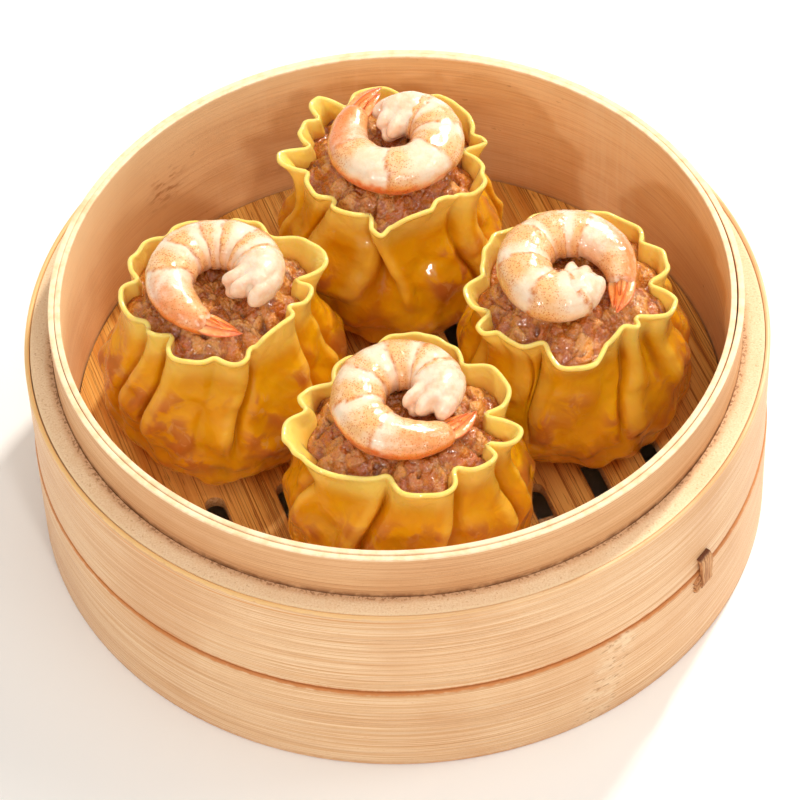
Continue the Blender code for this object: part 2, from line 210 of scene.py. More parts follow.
def reckon(tree, what, first, second=0.0):
    """One sum on two values."""
    sum_node = tree.nodes.new("ShaderNodeMath")
    sum_node.operation = what
    plug(tree, sum_node.inputs[0], first)
    plug(tree, sum_node.inputs[1], second)
    return sum_node.outputs[0]


def blend(tree, share, first, second, how="MIX"):
    """Mix two colours."""
    mix = tree.nodes.new("ShaderNodeMix")
    mix.data_type = "RGBA"
    mix.blend_type = how
    plug(tree, mix.inputs[0], share)
    plug(tree, mix.inputs[6], first)
    plug(tree, mix.inputs[7], second)
    return mix.outputs[2]


def painted(tree, name):
    """A value that was painted on the mesh."""
    reader = tree.nodes.new("ShaderNodeAttribute")
    reader.attribute_name = name
    return reader.outputs["Fac"]


def split(tree, place):
    """The X, Y and Z of a place."""
    parts = tree.nodes.new("ShaderNodeSeparateXYZ")
    tree.links.new(place, parts.inputs[0])
    return parts.outputs


def thin_lines(tree, place, width):
    """Fine lines from 0 to 1 where stretched noise crosses its middle."""
    cloud = mottle(tree, place, 1.0, 1.0, 0.5)
    return between(tree, reckon(tree, "ABSOLUTE", reckon(tree, "SUBTRACT", cloud, 0.5)), 0.0, width, 1.0, 0.0)


def reach_of(tree, place):
    """Distance from the upright axis."""
    x, y, _ = split(tree, place)
    squares = reckon(tree, "ADD", reckon(tree, "MULTIPLY", x, x), reckon(tree, "MULTIPLY", y, y))
    return reckon(tree, "SQRT", squares)


def relief(tree, shader, height, depth, strength=1.0, under=None):
    """Bump the surface by a height from 0 to 1 over a depth in metres."""
    bump = tree.nodes.new("ShaderNodeBump")
    tree.links.new(height, bump.inputs["Height"])
    bump.inputs["Distance"].default_value = depth
    bump.inputs["Strength"].default_value = strength
    if under is not None:
        tree.links.new(under, bump.inputs["Normal"])
    tree.links.new(bump.outputs["Normal"], shader.inputs["Normal"])
    return bump.outputs["Normal"]


def wet_film(tree, shader, height, depth, rough):
    """Cover a food with a clear wet film that has gentle bumps of its own, so that it glints here and there."""
    bump = tree.nodes.new("ShaderNodeBump")
    tree.links.new(height, bump.inputs["Height"])
    bump.inputs["Distance"].default_value = depth
    tree.links.new(bump.outputs["Normal"], shader.inputs["Coat Normal"])
    shader.inputs["Coat Weight"].default_value = 1.0
    shader.inputs["Coat Roughness"].default_value = rough
    shader.inputs["Coat IOR"].default_value = 1.5


# Bamboo

def hoop_grain(tree, place, pale, streak, dark, patches=0.35):
    """Bamboo bent into a hoop: fine fibres run round it, over slow patches of deeper colour."""
    fibres = mottle(tree, stretched(tree, place, (30, 30, 4600)), 1.0, 3.0, 0.65)
    strands = mottle(tree, stretched(tree, place, (11, 11, 1100)), 1.0, 3.0, 0.55, 0.25)
    lines = thin_lines(tree, stretched(tree, place, (6, 6, 1700)), 0.03)
    slow = mottle(tree, place, 30.0, 3.0, 0.5)
    grit = mottle(tree, stretched(tree, place, (1000, 1000, 3600)), 1.0, 2.0, 0.6)
    colour = blend(tree, between(tree, fibres, 0.42, 0.6), pale, streak)
    colour = blend(tree, between(tree, strands, 0.42, 0.66, 0.0, 0.38), colour, streak)
    colour = blend(tree, between(tree, slow, 0.45, 0.72, 0.0, patches), colour, dark)
    height = reckon(tree, "SUBTRACT", fibres, reckon(tree, "MULTIPLY", lines, 0.5))
    lines = reckon(tree, "MULTIPLY", lines, between(tree, strands, 0.38, 0.58, 0.2, 0.9))
    colour = blend(tree, lines, colour, dark)
    colour = blend(tree, between(tree, grit, 0.6, 0.74, 0.0, 0.4), colour, dark)
    return colour, height


def finish_bamboo(tree, shader, colour, height, rough):
    """Plug a grain into its shader."""
    tree.links.new(colour, shader.inputs["Base Color"])
    tree.links.new(between(tree, height, 0.2, 0.7, rough - 0.08, rough + 0.1), shader.inputs["Roughness"])
    shader.inputs["Specular IOR Level"].default_value = 0.3
    relief(tree, shader, height, 0.0001, 0.7)


def rim_bamboo(name):
    """Rim strips: warm smooth inside, pale cut top, rosy outside and a brown line where they meet the band, part stain
    and part painted shade; painted light pales the inside higher up on the left and a painted sheen lies on it at the
    back right.
    """
    material, tree, shader, place = start_material(name)
    x, y, height_here = split(tree, place)
    turn = reckon(tree, "ARCTAN2", y, x)
    reach = reach_of(tree, place)
    outside, grain = hoop_grain(tree, place, tone(236, 190, 142), tone(220, 166, 116), tone(204, 140, 90))
    figure = mottle(tree, stretched(tree, place, (24, 24, 60)), 1.0, 4.0, 0.55, 0.5)
    fibres = mottle(tree, stretched(tree, place, (50, 50, 2600)), 1.0, 3.0, 0.6)
    rays = mottle(tree, stretched(tree, place, (560, 560, 46)), 1.0, 3.0, 0.6)
    specks = mottle(tree, stretched(tree, place, (330, 330, 900)), 1.0, 2.0, 0.5)
    inside = blend(tree, between(tree, figure, 0.35, 0.7), tone(249, 209, 156), tone(238, 191, 134))
    inside = blend(tree, between(tree, fibres, 0.42, 0.7, 0.0, 0.42), inside, tone(214, 154, 98))
    inside = blend(tree, between(tree, rays, 0.48, 0.7, 0.0, 0.14), inside, tone(250, 214, 166))
    smears = mottle(tree, stretched(tree, place, (20, 20, 110)), 1.0, 3.0, 0.5, 0.3)
    inside = blend(tree, between(tree, smears, 0.56, 0.74, 0.0, 0.32), inside, tone(196, 132, 80))
    inside = blend(tree, between(tree, specks, 0.71, 0.78, 0.0, 0.5), inside, tone(168, 108, 62))
    # Painted light: the inside is paled higher up and towards the left, where the key light falls on the inner wall.
    lit_upper_left = reckon(tree, "SUBTRACT", height_here, reckon(tree, "MULTIPLY", x, 0.5))
    inside = blend(tree, between(tree, lit_upper_left, 50.0 * MM, 86.0 * MM, 0.0, 0.7), inside, tone(255, 226, 180))
    # Painted sheen: a paler patch with vertical rays on the inner wall at the back right.
    sheen_patch = between(tree, reckon(tree, "ABSOLUTE", reckon(tree, "SUBTRACT", turn, 0.79)), 0.02, 0.2, 0.32, 0.0)
    sheen_patch = reckon(tree, "MULTIPLY", sheen_patch, between(tree, rays, 0.36, 0.6, 0.25, 1.0))
    inside = blend(tree, sheen_patch, inside, tone(253, 226, 184))
    dark_node = between(tree, reckon(tree, "ABSOLUTE", reckon(tree, "SUBTRACT", turn, 2.36)), 0.02, 0.11, 1.0, 0.0)
    near_smudge = reckon(tree, "ABSOLUTE", reckon(tree, "SUBTRACT", height_here, 41.0 * MM))
    dark_node = reckon(tree, "MULTIPLY", dark_node, between(tree, near_smudge, 1.0 * MM, 7.0 * MM, 1.0, 0.0))
    dark_node = reckon(tree, "MULTIPLY", dark_node, between(tree, specks, 0.46, 0.66, 0.1, 0.8))
    inside = blend(tree, dark_node, inside, tone(184, 122, 72))
    inner_side = between(tree, reach, RIM_RADIUS + 0.2 * MM, RIM_RADIUS + 0.4 * MM, 1.0, 0.0)
    colour = blend(tree, inner_side, outside, inside)
    chips = mottle(tree, stretched(tree, place, (90, 90, 90)), 1.0, 3.0, 0.6)
    rings = mottle(tree, stretched(tree, place, (420, 420, 420)), 1.0, 3.0, 0.6)
    cut = blend(tree, between(tree, rings, 0.4, 0.7), tone(255, 228, 190), tone(247, 208, 162))
    cut = blend(tree, between(tree, chips, 0.55, 0.7, 0.0, 0.5), cut, tone(236, 186, 130))
    top = between(tree, height_here, RIM_TOP - 0.55 * MM, RIM_TOP - 0.3 * MM)
    colour = blend(tree, top, colour, cut)
    # A brown specked line at the foot of the outside where the strips meet the band: part stain, part painted shade in
    # that corner.
    stain_and_shade = between(tree, height_here, SHOULDER_TOP + 0.1 * MM, SHOULDER_TOP + 1.3 * MM, 1.0, 0.0)
    stain_and_shade = reckon(tree, "MULTIPLY", stain_and_shade, between(tree, mottle(tree, place, 420.0, 3.0, 0.6), 0.3, 0.6))
    stain_and_shade = reckon(tree, "MULTIPLY", stain_and_shade, between(tree, reach, STRIP_SPLIT, STRIP_SPLIT + 0.3 * MM, 0.0, 0.7))
    colour = blend(tree, stain_and_shade, colour, tone(150, 94, 56))
    finish_bamboo(tree, shader, colour, grain, 0.5)
    return material


def skin_bamboo(name):
    """Outer bands: pale peach fibres, orange along their cut edges and the scar of a node on the lower one."""
    material, tree, shader, place = start_material(name)
    x, y, height_here = split(tree, place)
    colour, grain = hoop_grain(tree, place, tone(246, 210, 168), tone(226, 176, 126), tone(208, 146, 92), 0.4)
    ragged = reckon(tree, "MULTIPLY", reckon(tree, "SUBTRACT", mottle(tree, place, 520.0, 3.0, 0.6), 0.5), 1.2 * MM)
    level = reckon(tree, "ADD", height_here, ragged)
    lip = between(tree, level, SKIN_TOP - 0.55 * MM, SKIN_TOP - 0.25 * MM)
    leftness = between(tree, x, -45.0 * MM, 25.0 * MM, 1.0, 0.2)
    colour = blend(tree, reckon(tree, "MULTIPLY", lip, leftness), colour, tone(246, 200, 134))
    drifting = reckon(tree, "MULTIPLY", mottle(tree, place, 24.0, 2.0, 0.5), 1.6 * MM)
    trim = reckon(tree, "SUBTRACT", reckon(tree, "ADD", height_here, drifting), SKIN_TOP - 0.6 * MM)
    trim = between(tree, reckon(tree, "ABSOLUTE", trim), 0.08 * MM, 0.3 * MM, 0.75, 0.0)
    colour = blend(tree, reckon(tree, "MULTIPLY", trim, leftness), colour, tone(226, 152, 78))
    edge = reckon(tree, "ABSOLUTE", reckon(tree, "SUBTRACT", level, (GROOVE_TOP + LOWER_TOP) / 2))
    edge = between(tree, edge, 0.3 * MM, 1.0 * MM, 0.85, 0.0)
    colour = blend(tree, edge, colour, tone(206, 126, 60))
    foot = between(tree, level, 0.2 * MM, 1.4 * MM, 0.55, 0.0)
    colour = blend(tree, foot, colour, tone(204, 134, 78))
    turn = reckon(tree, "ARCTAN2", y, x)
    slant = reckon(tree, "MULTIPLY", reckon(tree, "SUBTRACT", height_here, LOWER_TOP), 4.2)
    off_centre = reckon(tree, "SUBTRACT", reckon(tree, "SUBTRACT", turn, NODE_MARK_AZIMUTH), slant)
    node = between(tree, reckon(tree, "ABSOLUTE", off_centre), 0.03, 0.085, 1.0, 0.0)
    node = reckon(tree, "MULTIPLY", node, between(tree, height_here, LOWER_TOP - 0.2 * MM, LOWER_TOP, 1.0, 0.0))
    flecks = mottle(tree, stretched(tree, place, (230, 230, 420)), 1.0, 3.0, 0.65, 0.3)
    pale_fleck = reckon(tree, "MULTIPLY", node, between(tree, flecks, 0.44, 0.64, 0.1, 0.5))
    colour = blend(tree, pale_fleck, colour, tone(250, 226, 190))
    pits = mottle(tree, stretched(tree, place, (420, 420, 1500)), 1.0, 2.0, 0.6)
    pits = reckon(tree, "MULTIPLY", node, between(tree, pits, 0.56, 0.66))
    colour = blend(tree, reckon(tree, "MULTIPLY", pits, 0.65), colour, tone(180, 120, 72))
    finish_bamboo(tree, shader, colour, grain, 0.42)
    return material


def warm_bamboo(name):
    """The ledge hoop under the board."""
    material, tree, shader, place = start_material(name)
    colour, grain = hoop_grain(tree, place, tone(214, 156, 98), tone(190, 124, 70), tone(166, 98, 50))
    finish_bamboo(tree, shader, colour, grain, 0.55)
    return material


def sawn_bamboo(name):
    """The sawn top of a bamboo hoop: grainy fibre ends, browner towards its inner edge with a dark specked line there
    that is part dirt and part painted shade, and pale at its outer one.
    """
    material, tree, shader, place = start_material(name)
    reach = reach_of(tree, place)
    grains = mottle(tree, place, 2600.0, 3.0, 0.65)
    rings = mottle(tree, stretched(tree, place, (120, 120, 120)), 1.0, 2.0, 0.5)
    specks = mottle(tree, stretched(tree, place, (1300, 1300, 1300)), 1.0, 2.0, 0.6, 0.2)
    wobble = reckon(tree, "MULTIPLY", reckon(tree, "SUBTRACT", mottle(tree, place, 240.0, 3.0, 0.6), 0.5), 1.6 * MM)
    away = reckon(tree, "ADD", reach, wobble)
    colour = blend(tree, between(tree, grains, 0.36, 0.64), tone(246, 219, 184), tone(235, 202, 160))
    colour = blend(tree, between(tree, rings, 0.42, 0.7, 0.0, 0.3), colour, tone(232, 190, 144))
    colour = blend(tree, between(tree, specks, 0.6, 0.74, 0.0, 0.45), colour, tone(186, 136, 92))
    inner = between(tree, away, SHOULDER_INSIDE + 0.5 * MM, SHOULDER_INSIDE + 1.9 * MM, 0.5, 0.0)
    colour = blend(tree, inner, colour, tone(206, 150, 102))
    # A dark specked line at the inner edge where the band meets the rim: part dirt, part painted shade in that corner.
    dirt_and_shade = between(tree, away, SHOULDER_INSIDE + 0.4 * MM, SHOULDER_INSIDE + 0.95 * MM, 1.0, 0.0)
    dirt_and_shade = reckon(tree, "MULTIPLY", dirt_and_shade, between(tree, specks, 0.48, 0.6))
    colour = blend(tree, reckon(tree, "MULTIPLY", dirt_and_shade, 0.6), colour, tone(140, 86, 48))
    outer = between(tree, away, SHOULDER_OUTSIDE - 0.8 * MM, SHOULDER_OUTSIDE - 0.3 * MM)
    colour = blend(tree, reckon(tree, "MULTIPLY", outer, 0.5), colour, tone(246, 222, 182))
    tree.links.new(colour, shader.inputs["Base Color"])
    shader.inputs["Roughness"].default_value = 0.85
    shader.inputs["Specular IOR Level"].default_value = 0.2
    relief(tree, shader, reckon(tree, "SUBTRACT", grains, specks), 0.00014, 0.6)
    return material


def board_bamboo(name):
    """The floor board: straight warm grain with fine dark lines and flecks."""
    material, tree, shader, place = start_material(name)
    fibres = mottle(tree, stretched(tree, place, (3600, 40, 60), -GRAIN_TURN), 1.0, 3.0, 0.6)
    slats = mottle(tree, stretched(tree, place, (420, 8, 30), -GRAIN_TURN), 1.0, 3.0, 0.55)
    slow = mottle(tree, stretched(tree, place, (60, 22, 20), -GRAIN_TURN), 1.0, 2.0, 0.5)
    lines = thin_lines(tree, stretched(tree, place, (1300, 6, 20), -GRAIN_TURN), 0.045)
    dashes = mottle(tree, stretched(tree, place, (2300, 150, 60), -GRAIN_TURN), 1.0, 2.0, 0.5)
    colour = blend(tree, between(tree, fibres, 0.36, 0.66), tone(242, 188, 98), tone(224, 156, 64))
    colour = blend(tree, between(tree, slats, 0.42, 0.66, 0.0, 0.65), colour, tone(200, 118, 36))
    colour = blend(tree, between(tree, slow, 0.42, 0.72, 0.0, 0.45), colour, tone(246, 196, 116))
    colour = blend(tree, reckon(tree, "MULTIPLY", lines, 0.75), colour, tone(154, 80, 20))
    colour = blend(tree, between(tree, dashes, 0.64, 0.74, 0.0, 0.65), colour, tone(142, 78, 28))
    fuzz = mottle(tree, place, 1500.0, 3.0, 0.65)
    # The slot walls take a paler sawn colour: part the colour of cut fibre, part painted light where little light
    # reaches inside the slots.
    sawn = blend(tree, between(tree, fuzz, 0.35, 0.65), tone(240, 206, 158), tone(206, 158, 106))
    side = between(tree, split(tree, place)[2], FLOOR_TOP - 0.25 * MM, FLOOR_TOP - 0.08 * MM, 1.0, 0.0)
    colour = blend(tree, side, colour, sawn)
    tree.links.new(colour, shader.inputs["Base Color"])
    tree.links.new(between(tree, fibres, 0.3, 0.7, 0.4, 0.58), shader.inputs["Roughness"])
    shader.inputs["Specular IOR Level"].default_value = 0.25
    relief(tree, shader, reckon(tree, "SUBTRACT", fibres, lines), 0.00015, 0.8)
    return material


def cane_fibre(name):
    """Brown split cane with long fibres, darkened by painted shade where it dives through the wall."""
    material, tree, shader, place = start_material(name)
    fibres = mottle(tree, stretched(tree, place, (2600, 2600, 160)), 1.0, 3.0, 0.65)
    slow = mottle(tree, place, 420.0, 2.0, 0.5)
    colour = blend(tree, between(tree, fibres, 0.35, 0.65), tone(226, 172, 118), tone(172, 110, 62))
    colour = blend(tree, between(tree, slow, 0.45, 0.7, 0.0, 0.5), colour, tone(190, 126, 76))
    # Painted shade at the ends of each strap, where the cane dives through the wall.
    colour = blend(tree, painted(tree, "dark"), colour, tone(96, 42, 14))
    tree.links.new(colour, shader.inputs["Base Color"])
    shader.inputs["Roughness"].default_value = 0.7
    relief(tree, shader, fibres, 0.0003, 0.8)
    return material


# Food finishes

def wet_dough(name):
    """Wet, see-through egg dough: it glows amber, pales at the frill and shows the mince behind it, with painted shade
    in its pleat valleys, painted highlights on its ridges and painted light near its foot.
    """
    material, tree, shader, place = start_material(name)
    lip = painted(tree, "lip")
    show = painted(tree, "show")
    shaded_crease = painted(tree, "shaded_crease")
    ridge_highlight = painted(tree, "ridge_highlight")
    slow = mottle(tree, place, 95.0, 3.0, 0.5, 0.4)
    cloud = mottle(tree, place, 230.0, 3.0, 0.5, 0.5)
    smear = mottle(tree, place, 430.0, 3.0, 0.5, 0.8)
    fine = mottle(tree, place, 1300.0, 2.0, 0.5)
    colour = blend(tree, between(tree, slow, 0.35, 0.68), tone(230, 163, 10), tone(220, 148, 4))
    colour = blend(tree, between(tree, cloud, 0.42, 0.72, 0.0, 0.35), colour, tone(210, 128, 6))
    meat = reckon(tree, "MULTIPLY", show, between(tree, cloud, 0.36, 0.6))
    colour = blend(tree, between(tree, meat, 0.1, 1.0, 0.0, 0.75), colour, tone(182, 102, 50))
    pearl = reckon(tree, "MULTIPLY", show, between(tree, smear, 0.54, 0.68))
    colour = blend(tree, between(tree, pearl, 0.15, 1.0, 0.0, 0.4), colour, tone(224, 172, 106))
    # Painted shade: deeper, darker orange in the pleat valleys.
    colour = blend(tree, between(tree, shaded_crease, 0.1, 1.0, 0.0, 0.5), colour, tone(190, 102, 2))
    # Painted highlight along the pleat ridges.
    colour = blend(tree, between(tree, ridge_highlight, 0.1, 1.0, 0.0, 0.5), colour, tone(246, 194, 76))
    # Painted light: the dough is lightened near its foot, against the shade that falls there.
    foot = between(tree, split(tree, place)[2], FLOOR_TOP + 2 * MM, FLOOR_TOP + 14 * MM, 0.5, 0.0)
    colour = blend(tree, foot, colour, tone(248, 182, 40))
    colour = blend(tree, between(tree, lip, 0.0, 0.9), colour, tone(255, 214, 104))
    colour = blend(tree, between(tree, lip, 0.93, 1.0, 0.0, 0.5), colour, tone(255, 222, 134))
    tree.links.new(colour, shader.inputs["Base Color"])
    shader.inputs["Subsurface Weight"].default_value = 0.6
    shader.inputs["Subsurface Radius"].default_value = (1.0, 0.6, 0.15)
    shader.inputs["Subsurface Scale"].default_value = 0.0028
    tree.links.new(between(tree, cloud, 0.3, 0.7, 0.22, 0.36), shader.inputs["Roughness"])
    shader.inputs["Specular IOR Level"].default_value = 0.1
    wet_film(tree, shader, cloud, 0.00032, 0.05)
    coarse = relief(tree, shader, cloud, 0.0014, 0.4)
    relief(tree, shader, fine, 0.00004, 0.5, coarse)
    return material


def minced_pork(name):
    """Glistening minced pork: warm pinkish tan grains, paler fat, painted shade in its pits and gaps and a wet film."""
    material, tree, shader, place = start_material(name)
    shaded_pit = painted(tree, "shaded_pit")
    chunk = painted(tree, "chunk")
    grain = cells(tree, place, 1500.0)
    fat = mottle(tree, place, 620.0, 3.0, 0.55)
    fine = mottle(tree, place, 2600.0, 3.0, 0.6)
    colour = blend(tree, between(tree, chunk, 0.2, 0.8), tone(190, 102, 28), tone(210, 132, 50))
    colour = blend(tree, between(tree, chunk, 0.62, 0.85, 0.0, 0.6), colour, tone(232, 168, 90))
    colour = blend(tree, between(tree, fat, 0.5, 0.68, 0.0, 0.6), colour, tone(232, 166, 90))
    colour = blend(tree, between(tree, fat, 0.3, 0.44, 0.5, 0.0), colour, tone(168, 84, 28))
    # Painted shade in the pits and gaps between lumps, on the side tucked under the dough and at the edge by the dough.
    colour = blend(tree, between(tree, shaded_pit, 0.1, 1.0, 0.0, 0.8), colour, tone(116, 50, 10))
    tree.links.new(colour, shader.inputs["Base Color"])
    shader.inputs["Subsurface Weight"].default_value = 0.35
    shader.inputs["Subsurface Radius"].default_value = (1.0, 0.45, 0.25)
    shader.inputs["Subsurface Scale"].default_value = 0.0016
    tree.links.new(between(tree, fine, 0.35, 0.65, 0.14, 0.42), shader.inputs["Roughness"])
    wet_film(tree, shader, fat, 0.00025, 0.05)
    coarse = relief(tree, shader, grain, -0.0005, 0.6)
    relief(tree, shader, fine, 0.0003, 0.6, coarse)
    return material


def cooked_shrimp(name):
    """Cooked shrimp: cream flesh, tan speckled bands with dotted edges, orange towards its outside and tail, and a
    painted warm reflection on its inward side.
    """
    material, tree, shader, place = start_material(name)
    band = painted(tree, "band")
    seam = painted(tree, "seam")
    outer = painted(tree, "outer")
    inner = painted(tree, "inner")
    tail = painted(tree, "tail")
    cut = painted(tree, "cut")
    wobble = mottle(tree, place, 420.0, 3.0, 0.6)
    fine = mottle(tree, place, 1700.0, 3.0, 0.6)
    dots = cells(tree, place, 2300.0)
    thin = mottle(tree, place, 560.0, 2.0, 0.5)
    colour = blend(tree, between(tree, wobble, 0.35, 0.7), tone(253, 229, 202), tone(250, 216, 180))
    tan = reckon(tree, "MULTIPLY", band, between(tree, wobble, 0.25, 0.7, 0.6, 1.0))
    colour = blend(tree, reckon(tree, "MULTIPLY", tan, 0.95), colour, tone(243, 184, 112))
    blush = reckon(tree, "ADD", outer, reckon(tree, "MULTIPLY", reckon(tree, "SUBTRACT", thin, 0.5), 0.5))
    colour = blend(tree, between(tree, blush, 0.4, 1.0, 0.0, 0.5), colour, tone(244, 150, 72))
    colour = blend(tree, between(tree, blush, 0.72, 1.05, 0.0, 0.9), colour, tone(236, 104, 30))
    warm = reckon(tree, "ADD", tail, reckon(tree, "MULTIPLY", reckon(tree, "SUBTRACT", wobble, 0.5), 0.8))
    colour = blend(tree, between(tree, warm, 0.05, 0.85, 0.0, 0.9), colour, tone(240, 134, 58))
    # Painted reflection: warm orange bounce light on the inward side of the curl.
    colour = blend(tree, reckon(tree, "MULTIPLY", inner, 0.45), colour, tone(236, 156, 88))
    dotted = between(tree, dots, 0.22, 0.46, 1.0, 0.0)
    dusted = reckon(tree, "MULTIPLY", reckon(tree, "MAXIMUM", band, reckon(tree, "MULTIPLY", tail, 0.9)), dotted)
    speckled = reckon(tree, "MULTIPLY", dusted, between(tree, thin, 0.3, 0.48))
    colour = blend(tree, reckon(tree, "MULTIPLY", speckled, 0.85), colour, tone(212, 120, 40))
    line = reckon(tree, "MULTIPLY", seam, between(tree, fine, 0.35, 0.55, 0.3, 1.0))
    colour = blend(tree, line, colour, tone(214, 118, 32))
    white = blend(tree, between(tree, wobble, 0.4, 0.65), tone(253, 224, 197), tone(249, 204, 168))
    colour = blend(tree, between(tree, cut, 0.2, 0.9, 0.0, 0.9), colour, white)
    tree.links.new(colour, shader.inputs["Base Color"])
    shader.inputs["Subsurface Weight"].default_value = 0.35
    shader.inputs["Subsurface Radius"].default_value = (1.0, 0.55, 0.35)
    shader.inputs["Subsurface Scale"].default_value = 0.0015
    tree.links.new(between(tree, fine, 0.3, 0.7, 0.25, 0.42), shader.inputs["Roughness"])
    wet_film(tree, shader, wobble, 0.0004, 0.06)
    coarse = relief(tree, shader, wobble, 0.0005, 0.35)
    relief(tree, shader, fine, 0.00008, 0.4, coarse)
    return material


def shrimp_tail(name):
    """The tail fan: clear orange-red shell with darker ribs and edges and a pale root."""
    material, tree, shader, place = start_material(name)
    along = painted(tree, "along")
    rib = painted(tree, "rib")
    edge = painted(tree, "edge")
    streaks = mottle(tree, place, 1000.0, 3.0, 0.6)
    colour = blend(tree, between(tree, along, 0.0, 0.4), tone(250, 196, 128), tone(246, 146, 62))
    colour = blend(tree, between(tree, along, 0.45, 1.0, 0.0, 0.8), colour, tone(232, 88, 26))
    colour = blend(tree, between(tree, streaks, 0.46, 0.66, 0.0, 0.5), colour, tone(253, 196, 130))
    colour = blend(tree, between(tree, edge, 0.2, 1.0, 0.0, 0.75), colour, tone(222, 86, 24))
    colour = blend(tree, between(tree, rib, 0.3, 1.0, 0.0, 0.7), colour, tone(212, 88, 24))
    tree.links.new(colour, shader.inputs["Base Color"])
    shader.inputs["Subsurface Weight"].default_value = 0.35
    shader.inputs["Subsurface Radius"].default_value = (1.0, 0.35, 0.12)
    shader.inputs["Subsurface Scale"].default_value = 0.0015
    shader.inputs["Roughness"].default_value = 0.28
    ribs = reckon(tree, "ADD", rib, streaks)
    wet_film(tree, shader, ribs, 0.00015, 0.07)
    relief(tree, shader, ribs, 0.0003, 0.5)
    return material


def pale_floor(name):
    """The plain pale table."""
    material, tree, shader, place = start_material(name)
    tint = mottle(tree, place, 3.0, 2.0, 0.5)
    tree.links.new(blend(tree, tint, tone(250, 249, 247), tone(253, 252, 250)), shader.inputs["Base Color"])
    shader.inputs["Roughness"].default_value = 0.9
    return material


# Modelling by hand

def fresh():
    """Leave every object alone: object mode, nothing selected."""
    if bpy.context.object and bpy.context.object.mode != "OBJECT":
        bpy.ops.object.mode_set(mode="OBJECT")
    bpy.ops.object.select_all(action="DESELECT")


def new_piece(name):
    """Name the object that was just added and go into its mesh."""
    piece = bpy.context.object
    piece.name = name
    piece.data.name = name
    bpy.ops.object.mode_set(mode="EDIT")
    return piece


def pick(piece, chosen, kind="EDGE"):
    """Select the edges or faces of the mesh in hand that a test chooses."""
    bpy.ops.mesh.select_mode(type=kind)
    bpy.ops.mesh.select_all(action="DESELECT")
    mesh = bmesh.from_edit_mesh(piece.data)
    parts = {"EDGE": mesh.edges, "FACE": mesh.faces}[kind]
    for part in parts:
        if chosen(part):
            part.select_set(True)
    bmesh.update_edit_mesh(piece.data)


def close_up(piece, weld=0.00001):
    """Merge doubles, turn every face outwards and leave the mesh."""
    bpy.ops.mesh.select_all(action="SELECT")
    bpy.ops.mesh.remove_doubles(threshold=weld)
    bpy.ops.mesh.normals_make_consistent(inside=False)
    bpy.ops.object.mode_set(mode="OBJECT")


def smooth(piece, angle=40.0):
    """Shade a piece smooth but for its sharp edges."""
    fresh()
    bpy.context.view_layer.objects.active = piece
    piece.select_set(True)
    bpy.ops.object.shade_smooth_by_angle(angle=math.radians(angle))


def apply_all(piece):
    """Apply every modifier of a piece."""
    fresh()
    bpy.context.view_layer.objects.active = piece
    piece.select_set(True)
    for modifier in list(piece.modifiers):
        bpy.ops.object.modifier_apply(modifier=modifier.name)


def finish_piece(piece, material, slot, *nodes):
    """Give a piece its material, its place on the steamer and the solids that it stands for."""
    piece.data.materials.clear()
    piece.data.materials.append(material)
    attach(piece, "root")
    if nodes:
        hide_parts(*nodes)


def wave(angle, seed, count=3, first=1):
    """A smooth closed wave round a hoop, about -1 to 1, that differs with its seed."""
    return sum(math.sin((first + step) * angle + 1.7 * seed + 2.9 * step) for step in range(count)) / count


# Basket pieces

def hoop(name, inside, outside, low, high, soft):
    """A closed hoop of bamboo with softened edges, drawn up from a circle and round its section."""
    fresh()
    bpy.ops.mesh.primitive_circle_add(vertices=HOOP_STEPS, radius=outside, location=(0, 0, low))
    bpy.ops.object.transform_apply(location=True, rotation=True, scale=True)
    piece = new_piece(name)
    bpy.ops.mesh.select_all(action="SELECT")
    bpy.ops.mesh.extrude_region_move(TRANSFORM_OT_translate={"value": (0, 0, high - low)})
    for size, rise in ((inside / outside, 0), (1.0, low - high), (outside / inside, 0)):
        bpy.ops.mesh.extrude_region_move(TRANSFORM_OT_translate={"value": (0, 0, rise)})
        bpy.ops.transform.resize(value=(size, size, 1.0), center_override=(0, 0, 0))
    bpy.ops.mesh.select_all(action="SELECT")
    bpy.ops.mesh.remove_doubles(threshold=0.00001)
    pick(piece, lambda edge: edge.calc_face_angle(0) > 1.0)
    bpy.ops.mesh.bevel(offset=soft, segments=3)
    pick(piece, lambda edge: abs(edge.verts[0].co.z - edge.verts[1].co.z) > 4 * soft)
    bpy.ops.mesh.subdivide(number_cuts=3)
    close_up(piece)
    return piece


def wander(piece, radial, upright, seed):
    """Make a hoop as uneven as split bamboo: small slow waves in its radius and its height."""
    for vert in piece.data.vertices:
        angle = math.atan2(vert.co.y, vert.co.x)
        reach = math.hypot(vert.co.x, vert.co.y)
        push = 1.0 + radial * wave(angle, seed, 5, 2) / reach
        vert.co.x *= push
        vert.co.y *= push
        vert.co.z += upright * wave(angle, seed + 3, 6, 3)


def build_rim(pale):
    """The two strips that stand up as the rim, with a crack that opens between them on the right."""
    inner = hoop("rim_inner", RIM_RADIUS, STRIP_SPLIT + 0.1 * MM, RIM_FOOT, RIM_TOP, 0.22 * MM)
    wander(inner, 0.1 * MM, 0.12 * MM, 1)
    smooth(inner)
    finish_piece(inner, pale, "bamboo_pale", "rim_inner_strip")
    outer = hoop("rim_outer", STRIP_SPLIT + 0.16 * MM, STRIP_OUTSIDE, RIM_FOOT, RIM_TOP - 0.2 * MM, 0.22 * MM)
    for vert in outer.data.vertices:
        angle = math.atan2(vert.co.y, vert.co.x)
        reach = math.hypot(vert.co.x, vert.co.y)
        part = 0.26 * MM * math.exp(-((angle - 0.05) / 0.45) ** 2)
        vert.co.x *= 1 + part / reach
        vert.co.y *= 1 + part / reach
    wander(outer, 0.1 * MM, 0.15 * MM, 1)
    smooth(outer)
    finish_piece(outer, pale, "bamboo_pale", "rim_outer_strip")


